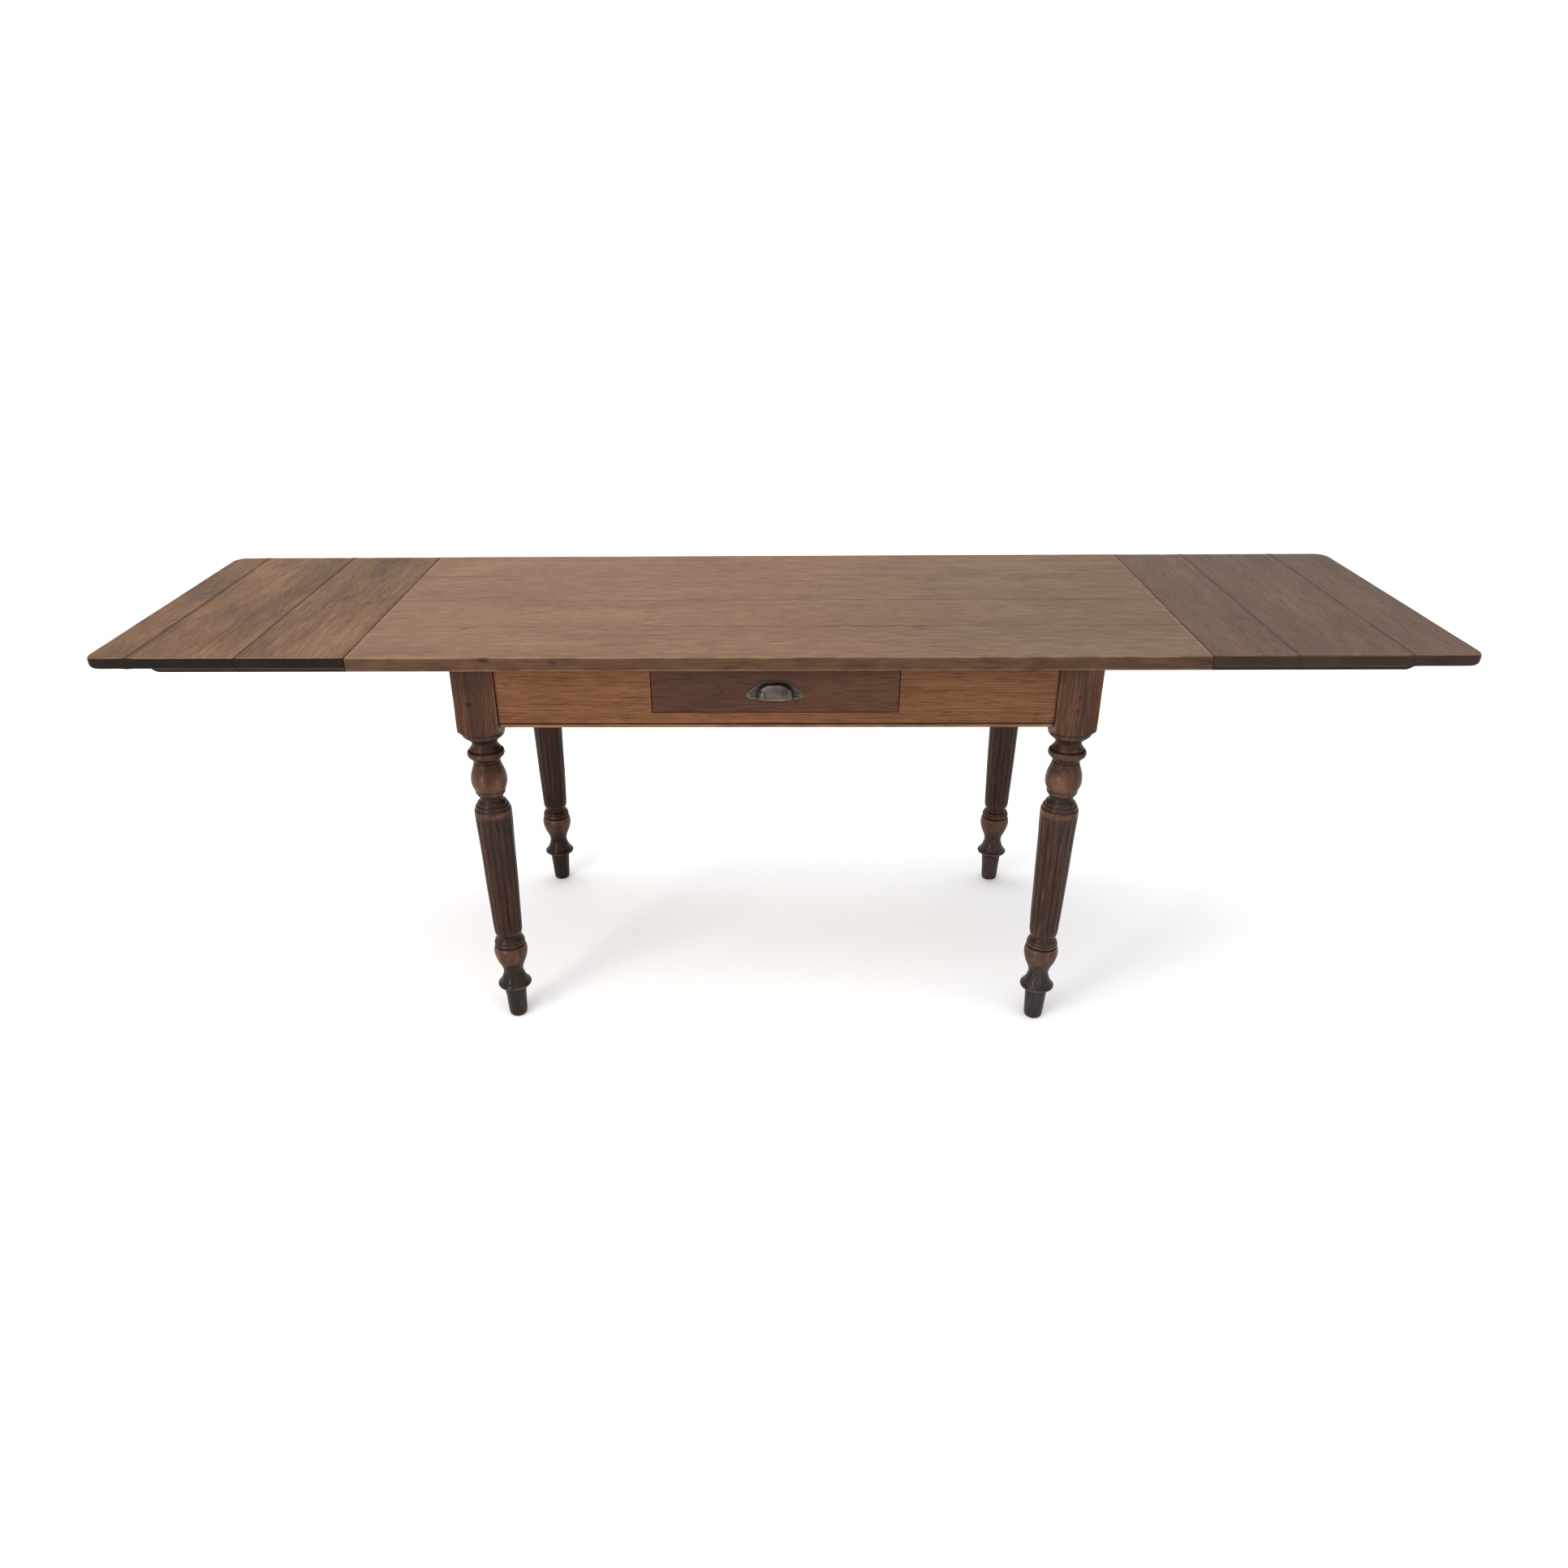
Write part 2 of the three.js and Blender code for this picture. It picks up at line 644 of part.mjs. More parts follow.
function endLeaf(label, side, widths, material) {
  const leaf = new THREE.Group();
  leaves.add(leaf);
  let x = TOP_END + LEAF_JOINT;
  const end = TOP_END + LEAF_LENGTH;
  widths.forEach((width, i) => {
    const last = i === widths.length - 1;
    const x1 = last ? end : TOP_END + widths.slice(0, i + 1).reduce((a, b) => a + b) - BOARD_SEAM / 2;
    place(leaf, `leaf_${label}_board_${i + 1}`, leafBoard(side, x, x1, last), material);
    x = x1 + BOARD_SEAM;
  });
  for (const [where, sideY] of [["front", -1], ["back", 1]]) {
    const y = mirrored(sideY, BEARER_FACE_Y - BEARER_THICK, BEARER_FACE_Y);
    place(leaf, `bearer_${label}_${where}`, alongY(bearerProfile(side), y[0], y[1]), bearerOak);
  }
}

endLeaf("left", -1, LEFT_BOARDS, leftLeafOak);
endLeaf("right", 1, RIGHT_BOARDS, rightLeafOak);

export default table;
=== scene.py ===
import math
from contextlib import contextmanager

import bmesh
import bpy
import numpy as np
from mathutils import Matrix, Vector


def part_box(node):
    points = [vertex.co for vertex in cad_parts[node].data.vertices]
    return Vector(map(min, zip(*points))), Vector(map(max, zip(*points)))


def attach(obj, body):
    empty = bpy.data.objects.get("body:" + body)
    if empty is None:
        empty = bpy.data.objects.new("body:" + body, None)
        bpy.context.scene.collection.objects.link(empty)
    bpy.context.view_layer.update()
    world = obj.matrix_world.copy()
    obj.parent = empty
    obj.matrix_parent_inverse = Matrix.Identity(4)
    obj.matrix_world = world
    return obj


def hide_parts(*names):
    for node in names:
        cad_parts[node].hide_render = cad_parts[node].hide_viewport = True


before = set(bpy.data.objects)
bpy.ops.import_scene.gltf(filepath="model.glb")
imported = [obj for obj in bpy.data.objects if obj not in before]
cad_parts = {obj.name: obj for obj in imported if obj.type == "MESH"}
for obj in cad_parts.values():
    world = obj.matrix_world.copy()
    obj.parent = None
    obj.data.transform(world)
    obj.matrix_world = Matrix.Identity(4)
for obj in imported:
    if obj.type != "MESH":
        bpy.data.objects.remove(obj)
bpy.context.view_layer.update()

# An old oak table: centre top, two end leaves on bearers, one drawer with a cup pull, and four
# turned legs with fluted columns. Metres, unless a comment says millimetres; the front is at -Y.

scene = bpy.context.scene
MM = 0.001


def placed(name, data):
    thing = bpy.data.objects.new(name, data)
    scene.collection.objects.link(thing)
    return thing


# ------------------------------------------------------------------ camera, lights and floor

EYE = (-0.0003, -2.1672, 1.3857)
YAW = -0.0257
PITCH = 0.5062  # downwards
ROLL = -0.0109
LENS = 27.03
SENSOR = 36
SHIFT = (0.0229, 0.0512)


def aim_camera():
    forward = Vector((
        math.sin(YAW) * math.cos(PITCH),
        math.cos(YAW) * math.cos(PITCH),
        -math.sin(PITCH),
    ))
    level = Vector((math.cos(YAW), -math.sin(YAW), 0))
    upright = level.cross(forward)
    right = level * math.cos(ROLL) + upright * math.sin(ROLL)
    up = upright * math.cos(ROLL) - level * math.sin(ROLL)
    data = bpy.data.cameras.new("camera")
    data.sensor_width = SENSOR
    data.lens = LENS
    data.shift_x, data.shift_y = SHIFT
    turn = Matrix((right, up, -forward)).transposed()
    scene.camera = placed("camera", data)
    scene.camera.matrix_world = Matrix.Translation(EYE) @ turn.to_4x4()


def area_light(name, place, target, size, power, colour):
    data = bpy.data.lights.new(name, "AREA")
    data.shape = "RECTANGLE"
    data.size, data.size_y = size
    data.energy = power
    data.color = colour
    lamp = placed(name, data)
    lamp.location = place
    lamp.rotation_mode = "QUATERNION"
    lamp.rotation_quaternion = (Vector(target) - Vector(place)).to_track_quat("-Z", "Y")


WARM = (1, 0.96, 0.91)
WORLD_STRENGTH = 1.24
LIGHTS = (
    # name, place, what it points at, size, watts, colour
    ("overhead", (-0.5, -0.3, 3.2), (0, 0, 0.7), (3.4, 2.4), 52, (1, 1, 1)),
    ("key", (-2.3, -2.5, 2.7), (0, -0.2, 0.4), (1.0, 1.0), 34, WARM),
    ("window", (-1.9, -2.6, 0.55), (-0.1, -0.2, 0.45), (0.35, 0.6), 16, WARM),
)


def studio():
    world = bpy.data.worlds.new("studio")
    world.use_nodes = True
    sky = world.node_tree.nodes["Background"]
    sky.inputs["Color"].default_value = (1, 1, 1, 1)
    sky.inputs["Strength"].default_value = WORLD_STRENGTH
    scene.world = world
    for light in LIGHTS:
        area_light(*light)
    scene.view_settings.view_transform = "Standard"


# ------------------------------------------------------------------ materials

def paint(red, green, blue):
    """The linear colour of 0-255 screen values, by the sRGB curve."""
    return tuple((v / 255 / 12.92) if v <= 10 else ((v / 255 + 0.055) / 1.055) ** 2.4
                 for v in (red, green, blue))


def scaled(colour, factor):
    return tuple(v * factor for v in colour)


class Shader:
    """One node material, built up step by step."""

    def __init__(self, name):
        self.material = bpy.data.materials.new(name)
        self.material.use_nodes = True
        self.tree = self.material.node_tree
        self.tree.nodes.clear()
        self.bsdf = self.add("ShaderNodeBsdfPrincipled")
        output = self.add("ShaderNodeOutputMaterial")
        self.tree.links.new(self.bsdf.outputs["BSDF"], output.inputs["Surface"])

    def add(self, kind, inputs=None, **settings):
        node = self.tree.nodes.new(kind)
        for key, value in settings.items():
            setattr(node, key, value)
        for key, value in (inputs or {}).items():
            self.feed(node.inputs[key], value)
        return node

    def feed(self, socket, value):
        if isinstance(value, bpy.types.NodeSocket):
            self.tree.links.new(value, socket)
        elif isinstance(value, tuple) and len(value) == 3 and socket.type == "RGBA":
            socket.default_value = (*value, 1)
        else:
            socket.default_value = value

    def math(self, operation, a, b=0.0):
        return self.add("ShaderNodeMath", {0: a, 1: b}, operation=operation).outputs[0]

    def vector(self, operation, a, b):
        return self.add("ShaderNodeVectorMath", {0: a, 1: b}, operation=operation).outputs[0]

    def attribute(self, name, output):
        return self.add("ShaderNodeAttribute", attribute_name=name).outputs[output]

    def split(self, vector):
        return self.add("ShaderNodeSeparateXYZ", {0: vector}).outputs

    def sum(self, *terms):
        """Sum of (value, weight) pairs and plain values."""
        total = 0.0
        for term in terms:
            if isinstance(term, tuple):
                term = self.math("MULTIPLY", *term)
            total = self.math("ADD", total, term)
        return total

    def mix(self, factor, a, b, blend="MIX"):
        node = self.add("ShaderNodeMix", {0: factor, 6: a, 7: b}, data_type="RGBA", blend_type=blend)
        return node.outputs[2]

    def step(self, value, low, high, out_low=0.0, out_high=1.0):
        node = self.add(
            "ShaderNodeMapRange",
            {"Value": value, "From Min": low, "From Max": high, "To Min": out_low, "To Max": out_high},
            interpolation_type="SMOOTHSTEP",
        )
        return node.outputs["Result"]

    def noise(self, vector, stretch, detail=2.0, roughness=0.5, distortion=0.0):
        """Noise whose frequency is set separately along, across and through the grain."""
        moved = self.vector("MULTIPLY", vector, stretch)
        return self.add("ShaderNodeTexNoise", {
            "Vector": moved, "Scale": 1.0, "Detail": detail, "Roughness": roughness,
            "Distortion": distortion,
        }).outputs["Fac"]

    def ramp(self, value, stops):
        node = self.add("ShaderNodeValToRGB", {"Fac": value})
        elements = node.color_ramp.elements
        elements[0].position, elements[-1].position = stops[0][0], stops[-1][0]
        elements[0].color, elements[-1].color = (*stops[0][1], 1), (*stops[-1][1], 1)
        for position, colour in stops[1:-1]:
            elements.new(position).color = (*colour, 1)
        return node.outputs["Color"]

    def surface(self, colour, roughness, height, strength, distance, **plain):
        """Joins up the surface; plain gives the sockets that are the same all over."""
        bump = self.add("ShaderNodeBump", {"Height": height, "Strength": strength, "Distance": distance})
        sockets = self.bsdf.inputs
        self.feed(sockets["Base Color"], colour)
        self.feed(sockets["Roughness"], roughness)
        self.feed(sockets["Normal"], bump.outputs["Normal"])
        for name, value in plain.items():
            sockets[name.replace("_", " ")].default_value = value
        return self.material


def oak(name, axis, dark, mid, light, end, rough=(0.42, 0.6), streaks=0.3, blotches=0.3,
        dashes=0.5, rings=0.22, ring_width=3.6 * MM, pores=0.5, flecks=0.0, worn=None, shifts=(),
        knots=(), side_shade=None, sheen=0.1, polish=0.0):
    """Oak with its grain along one axis, its tones given as 0-255 screen values. A piece's "grain"
    attribute moves the pattern from board to board and sets where the heart of the tree lay; "wear"
    is above 0 where hands rub the wood and where highlights are painted in, and below 0 where dirt
    gathers and where shade is painted in. shifts are broad (axis, low, high, colour) changes, some of
    them painted light, knots are (centre, size) with a size for each axis, sides darkens the upright
    faces of a table top as painted shade, and polish is how thick the wax lies on it."""
    s = Shader(name)
    dark, mid, light, end, worn = (paint(*tone) for tone in (dark, mid, light, end, worn or light))
    place = s.add("ShaderNodeTexCoord").outputs
    xyz = s.split(place["Object"])
    order = {"X": (0, 1, 2), "Y": (1, 0, 2), "Z": (2, 0, 1)}[axis]
    along, across, through = (xyz[i] for i in order)
    seed, heart_across, heart_through = s.split(s.attribute("grain", "Vector"))[:]
    grain = s.add("ShaderNodeCombineXYZ", {
        "X": s.sum(along, (seed, 13.0)),
        "Y": s.sum(across, (seed, 1.7)),
        "Z": s.sum(through, (seed, 2.3)),
    }).outputs[0]

    # growth rings: distance from the heart, pulled about by slow noise so that they wander
    drift = s.noise(grain, (1.3, 9, 9))
    off_across = s.math("SUBTRACT", across, heart_across)
    off_through = s.math("SUBTRACT", through, heart_through)
    radius = s.math("SQRT", s.sum((off_across, off_across), (off_through, off_through)))
    radius = s.sum(radius, (drift, 0.028), (along, 0.011))
    phase = s.math("FRACT", s.math("DIVIDE", radius, ring_width))
    ring = s.math("MULTIPLY", s.step(phase, 0.0, 0.72), s.step(phase, 1.0, 0.86))

    streak = s.noise(grain, (1.5, 46, 46), detail=4.0, roughness=0.62)
    dash = s.noise(grain, (24, 260, 260), detail=3.0, roughness=0.6)
    fibre = s.noise(grain, (9, 620, 620), roughness=0.65)
    blotch = s.noise(grain, (3.4, 8, 8), detail=3.0, roughness=0.55, distortion=0.4)
    pore = s.step(s.noise(grain, (34, 820, 820), detail=1.0), 0.6, 0.7)
    spot = s.step(s.noise(grain, (55, 75, 75), detail=1.0), 0.72, 0.79)
    tone = s.sum(
        0.5,
        (s.math("SUBTRACT", streak, 0.5), 2.0 * streaks),
        (s.math("SUBTRACT", dash, 0.5), 1.6 * dashes),
        (s.math("SUBTRACT", blotch, 0.5), 2.4 * blotches),
        (s.math("SUBTRACT", ring, 0.5), rings),
        (s.math("SUBTRACT", fibre, 0.5), 0.5),
    )
    colour = s.ramp(tone, [(0.12, dark), (0.5, mid), (0.88, light)])
    for direction, low, high, tint in shifts:
        change = s.mix(1.0, colour, tint, "MULTIPLY")
        colour = s.mix(s.step(xyz["XYZ".index(direction)], low, high), colour, change)
    if flecks:
        ray = s.step(s.noise(grain, (16, 210, 210), detail=1.0), 0.66, 0.74)
        colour = s.mix(s.math("MULTIPLY", ray, flecks), colour, light)
    colour = s.mix(s.math("MULTIPLY", pore, pores), colour, scaled(dark, 0.45))
    colour = s.mix(s.math("MULTIPLY", spot, 0.4), colour, scaled(dark, 0.5))

    for centre, size in knots:
        away = s.vector("DIVIDE", s.vector("SUBTRACT", place["Object"], centre), size)
        reach = s.add("ShaderNodeVectorMath", {0: away}, operation="LENGTH")
        reach = s.sum(reach.outputs["Value"], (drift, 0.5), (fibre, 0.25))
        colour = s.mix(s.step(reach, 1.75, 0.75, 0.0, 0.85), colour, scaled(dark, 0.42))

    wear_and_shading = s.attribute("wear_and_shading", "Fac")
    patchy = s.step(s.noise(grain, (22, 60, 60), detail=3.0), 0.32, 0.66)
    # dark where dirt gathers and where shade is painted in
    dirt_and_shade = s.math("MULTIPLY", s.step(wear_and_shading, -0.05, -1.0), 0.85)
    colour = s.mix(dirt_and_shade, colour, scaled(dark, 0.3))

    # sawn ends, where the pores stand open and the finish sinks in
    facing = s.split(place["Normal"])
    is_end = s.step(s.math("ABSOLUTE", facing[order[0]]), 0.55, 0.9)
    sawn = s.mix(s.math("MULTIPLY", ring, 0.5), end, scaled(end, 1.5))
    sawn = s.mix(s.step(blotch, 0.3, 0.7, 0.0, 0.6), sawn, scaled(end, 0.55))
    colour = s.mix(is_end, colour, sawn)
    # lighter where hands rub the wood and where highlights are painted in
    rubbed = s.math("MULTIPLY", s.step(wear_and_shading, 0.05, 1.0), s.sum((patchy, 0.6), 0.15))
    rubbed = s.math("MULTIPLY", rubbed, s.math("SUBTRACT", 1.0, is_end))
    # painted shade: the upright faces darker than the top, where less light falls on them
    if side_shade:
        upright = s.step(s.math("ABSOLUTE", facing[2]), 0.75, 0.35)
        colour = s.mix(upright, colour, s.mix(1.0, colour, side_shade, "MULTIPLY"))
    colour = s.mix(rubbed, colour, worn)

    gloss = s.sum(
        rough[0],
        (s.noise(grain, (5, 14, 14), detail=3.0), rough[1] - rough[0]),
        (pore, 0.16),
        (is_end, 0.15),
        (dirt_and_shade, 0.35),
        (rubbed, -0.14),
    )
    height = s.sum((fibre, 0.5), (ring, 0.22), (pore, -0.9), (dash, 0.6))
    return s.surface(colour, gloss, height, 0.4, 0.5 * MM,
                     Specular_IOR_Level=sheen, Coat_Weight=polish, Coat_Roughness=0.22)


def old_metal(name, dark, bright, rough):
    """Dark patinated metal, bright where "wear" is high: rubbed, and on the pull partly painted
    highlight.
    """
    s = Shader(name)
    place = s.add("ShaderNodeTexCoord").outputs["Object"]
    cloud = s.noise(place, (70, 70, 70), detail=4.0, roughness=0.6)
    grit = s.noise(place, (900, 900, 900))
    scratch = s.noise(place, (120, 2200, 2200), detail=1.0)
    wear_and_shading = s.attribute("wear_and_shading", "Fac")
    amount = s.sum((s.step(cloud, 0.35, 0.7), 0.35), (s.step(wear_and_shading, 0.1, 0.9), 0.75))
    colour = s.mix(s.math("MINIMUM", amount, 1.0), dark, bright)
    colour = s.mix(s.step(grit, 0.62, 0.75, 0.0, 0.35), colour, scaled(dark, 0.4))
    tarnish = s.step(wear_and_shading, -0.1, -1.0)
    colour = s.mix(s.math("MULTIPLY", tarnish, 0.6), colour, scaled(dark, 1.1))
    roughness = s.sum(rough, (cloud, 0.22), (wear_and_shading, -0.08), (tarnish, 0.2))
    height = s.sum((cloud, 0.6), (grit, 0.25), (scratch, 0.15))
    return s.surface(colour, roughness, height, 0.3, 0.3 * MM, Metallic=0.9)


def plain_floor():
    s = Shader("studio_floor")
    place = s.add("ShaderNodeTexCoord").outputs["Object"]
    mottle = s.noise(place, (0.6, 0.6, 0.6))
    s.feed(s.bsdf.inputs["Base Color"], s.mix(mottle, (0.94, 0.94, 0.94), (0.96, 0.96, 0.96)))
    s.bsdf.inputs["Roughness"].default_value = 0.8
    s.bsdf.inputs["Specular IOR Level"].default_value = 0.2
    return s.material


# ------------------------------------------------------------------ mesh helpers

@contextmanager
def editing(mesh):
    work = bmesh.new()
    work.from_mesh(mesh)
    yield work
    work.to_mesh(mesh)
    work.free()


def new_object(name, points, faces, smooth_angle=38):
    mesh = bpy.data.meshes.new(name)
    mesh.from_pydata([tuple(p) for p in points], [], [tuple(f) for f in faces])
    mesh.validate()
    with editing(mesh) as work:
        bmesh.ops.recalc_face_normals(work, faces=work.faces)
    shade(mesh, smooth_angle)
    return placed(name, mesh)


def skin(rows, count, base=0, closed=True):
    """Faces between rows of count points each, the first point being number base."""
    faces = []
    for a in range(base, base + (rows - 1) * count, count):
        for k in range(count if closed else count - 1):
            n = (k + 1) % count
            faces.append((a + k, a + n, a + count + n, a + count + k))
    return faces


def shade(mesh, smooth_angle=38):
    mesh.polygons.foreach_set("use_smooth", [True] * len(mesh.polygons))
    mesh.set_sharp_from_angle(angle=math.radians(smooth_angle))


def mark(thing, seed=0.0, heart=(0.0, 0.0), wear_and_shading=None):
    """Writes the attributes that the oak material reads."""
    mesh = thing.data
    count = len(mesh.vertices)
    grain = mesh.attributes.new("grain", "FLOAT_VECTOR", "POINT")
    grain.data.foreach_set("vector", np.tile((seed, heart[0], heart[1]), count).astype(np.float32))
    if wear_and_shading is not None:
        layer = mesh.attributes.new("wear_and_shading", "FLOAT", "POINT")
        layer.data.foreach_set("value", np.asarray(wear_and_shading, np.float32))


def finish_piece(thing, body, material, replaced):
    thing.data.materials.clear()
    thing.data.materials.append(material)
    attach(thing, body)
    if replaced:
        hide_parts(*replaced)


def bevelled(thing, width, segments=2, angle=40):
    modifier = thing.modifiers.new("eased edges", "BEVEL")
    modifier.width = width
    modifier.segments = segments
    modifier.limit_method = "ANGLE"
    modifier.angle_limit = math.radians(angle)
    return thing


def settle(thing):
    """Applies the modifiers."""
    result = thing.evaluated_get(bpy.context.evaluated_depsgraph_get())
    solid = bpy.data.meshes.new_from_object(result)
    thing.modifiers.clear()
    old = thing.data
    thing.data = solid
    bpy.data.meshes.remove(old)
    shade(thing.data)
    return thing


def eased_copy(node, name, width):
    """The CAD piece with its flat faces made whole and its edges rubbed round."""
    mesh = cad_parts[node].data.copy()
    thing = placed(name, mesh)
    with editing(mesh) as work:
        bmesh.ops.remove_doubles(work, verts=work.verts, dist=1e-6)
        bmesh.ops.dissolve_limit(work, angle_limit=math.radians(1), verts=work.verts, edges=work.edges)
    return settle(bevelled(thing, width))


def ripple(t, seed, waves, slowest):
    """A smooth repeatable wobble between about -1 and 1 along t, in metres."""
    total = np.zeros_like(t)
    for k in range(waves):
        frequency = slowest * 1.9 ** k
        wave = np.sin(frequency * t * 6.283 + seed * 9.7 + k * 2.1)
        total += math.cos(seed * 5.1 + k) * wave / 1.5 ** k
    return total / 2.2


def ticks(low, high, edge_low, edge_high, step, corner=0.0):
    """Grid lines from low to high, close together where the edges are rounded."""
    near = (0.0, 0.15, 0.4, 0.7, 1.0)
    lines = [low + edge_low * k for k in near] + [high - edge_high * k for k in near]
    if corner:
        for k in (0.35, 0.6, 0.8, 1.0):
            lines += [low + corner * k, high - corner * k]
    count = max(2, round((high - low) / step))
    lines += list(np.linspace(low + edge_low * 1.6, high - edge_high * 1.6, count))
    lines.sort()
    kept = [lines[0]]
    for line in lines[1:]:
        if line - kept[-1] > 0.12 * MM:
            kept.append(line)
    kept[-1] = high
    return np.array(kept)


def plank(name, low, high, edges, seed, step, corners=None, hollow=0.25 * MM, seam_sides=(), nicks=0):
    """A board with rounded, slightly uneven edges. edges are the rounding radii at its left, right,
    front and back; corners gives plan radii by (x side, y side); seam_sides meet another board.
    Returns the board and the wear at each of its points."""
    left, right, front, back = edges
    corners = corners or {}
    widest = max(corners.values(), default=0.0)
    xs = ticks(low[0], high[0], left, right, step[0], widest)
    ys = ticks(low[1], high[1], front, back, step[1], widest)
    rim = max(edges)
    zs = ticks(low[2], high[2], rim, rim, high[2] - low[2])
    shape = (len(xs), len(ys), len(zs))
    index = -np.ones(shape, int)
    on_skin = np.zeros(shape, bool)
    on_skin[[0, -1]] = on_skin[:, [0, -1]] = on_skin[:, :, [0, -1]] = True
    index[on_skin] = np.arange(on_skin.sum())
    i, j, k = np.nonzero(on_skin)
    x, y, z = xs[i], ys[j], zs[k]

    # distance to the outline and the way out of it
    gaps = np.stack([x - low[0], high[0] - x, y - low[1], high[1] - y])
    side = gaps.argmin(0)
    inset = gaps.min(0)
    out = np.array([(-1, 0), (1, 0), (0, -1), (0, 1)], float)[side].T.copy()
    for sx in (-1, 1):
        for sy in (-1, 1):
            radius = corners.get((sx, sy), max(min(edges), 0.5 * MM))
            cx = high[0] - radius if sx > 0 else low[0] + radius
            cy = high[1] - radius if sy > 0 else low[1] + radius
            dx, dy = (x - cx) * sx, (y - cy) * sy
            inside = (dx > 0) & (dy > 0)
            square, round_ = np.maximum(dx, dy), np.hypot(dx, dy) + 1e-12
            scale = np.where(inside, square / round_, 1)
            x = np.where(inside, cx + sx * dx * scale, x)
            y = np.where(inside, cy + sy * dy * scale, y)
            inset = np.where(inside, radius - square, inset)
            out[0] = np.where(inside, sx * dx / round_, out[0])
            out[1] = np.where(inside, sy * dy / round_, out[1])
    side_x = np.where(out[0] < 0, left, right)
    side_y = np.where(out[1] < 0, front, back)
    rounding = side_x * out[0] ** 2 + side_y * out[1] ** 2

    # round the upper and lower edges
    for face, up in ((high[2], 1), (low[2], -1)):
        level = face - up * rounding
        a, b = rounding - inset, up * (z - level)
        inside = (a > 0) & (b > 0)
        scale = np.where(inside, np.maximum(a, b) / (np.hypot(a, b) + 1e-12), 1)
        shift = a * (1 - scale)
        x = np.where(inside, x - out[0] * shift, x)
        y = np.where(inside, y - out[1] * shift, y)
        z = np.where(inside, level + up * b * scale, z)

    # worn edges, a few knocks on the arrises, and a surface planed by hand
    exposed = np.array([s not in seam_sides for s in ("left", "right", "front", "back")], float)
    exposure = exposed[side]
    along_edge = np.where(side < 2, y, x)
    near_edge = np.exp(-np.maximum(inset, 0) / (5 * MM))
    uneven = 0.45 * MM * (1 + ripple(along_edge, seed + 0.3, 6, 3.0)) * near_edge * exposure
    rng = np.random.default_rng(int(seed * 1000) + 5)
    knocks = np.zeros_like(x)
    for _ in range(nicks):
        at_x = rng.uniform(low[0], high[0])
        at_y = rng.choice([low[1], high[1]])
        size = rng.uniform(4, 9) * MM
        close = np.exp(-(((x - at_x) / size) ** 2) - ((y - at_y) / (6 * MM)) ** 2)
        knocks += close * rng.uniform(0.5, 1.3) * MM * np.clip((z - low[2]) / (high[2] - low[2]), 0, 1)
    x -= out[0] * (uneven + knocks)
    y -= out[1] * (uneven + knocks)
    face_up = np.clip((z - (low[2] + high[2]) / 2) / ((high[2] - low[2]) / 2), 0, 1)
    width = min(high[0] - low[0], high[1] - low[1])
    planed = 0.5 + 0.5 * ripple(x * 0.9 + y * 1.4 + 3, seed, 4, 1.4)
    planed += 0.3 + 0.3 * ripple(y * 1.7 - x * 0.3 + 1, seed + 2, 4, 1.0 / max(width, 0.05) * 0.4)
    z -= face_up * hollow * planed * (inset > 0.3 * MM)

    faces = []
    for axis in range(3):
        for end in (0, -1):
            sheet = index.take(end, axis=axis)
            a, b = sheet[:-1, :-1].ravel(), sheet[1:, :-1].ravel()
            c, d = sheet[1:, 1:].ravel(), sheet[:-1, 1:].ravel()
            faces.append(np.stack([a, b, c, d] if (end == 0) == (axis == 1) else [a, d, c, b], 1))
    thing = new_object(name, np.stack([x, y, z], 1), np.concatenate(faces).tolist())
    to_arris = np.maximum(inset, 0) + np.minimum(z - low[2], high[2] - z)
    rubbed = np.exp(-to_arris / (3 * MM)) * exposure * 0.95
    dirty = -np.exp(-np.maximum(inset, 0) / (1.6 * MM)) * (1 - exposure)
    return thing, rubbed + dirty


# ------------------------------------------------------------------ table tops

# how far the boards' edges are rounded
TOP_LONG_EDGE = 2.4 * MM
TOP_SEAM = 0.35 * MM
TOP_END = 1.4 * MM
LEAF_SIDE = 3.2 * MM  # at the table's front and back
LEAF_END = 7 * MM  # at the table's ends
TIGHT_JOINT = 0.4 * MM
OPEN_JOINT = 0.9 * MM
LEAF_CORNER = 28 * MM  # in plan


def top_boards(material):
    names = sorted(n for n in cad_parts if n.startswith("top_board"))
    for number, node in enumerate(names):
        low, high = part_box(node)
        first, last = number == 0, number == len(names) - 1
        seams = [s for s, inner in (("front", not first), ("back", not last)) if inner]
        edges = (TOP_END, TOP_END,
                 TOP_LONG_EDGE if first else TOP_SEAM, TOP_LONG_EDGE if last else TOP_SEAM)
        seed = 0.37 + 0.61 * number
        board, wear_and_shading = plank(f"centre_top_{number + 1}", low, high, edges, seed, step=(10 * MM, 9 * MM),
                            seam_sides=seams, nicks=6 if first or last else 0)
        wear_and_shading = np.where(wear_and_shading < 0, wear_and_shading * 0.35, wear_and_shading)
        heart = ((low[1] + high[1]) / 2 + 0.05 * math.sin(seed * 9), low[2] - 0.09)
        mark(board, seed, heart, wear_and_shading)
        finish_piece(board, "frame", material, [node])


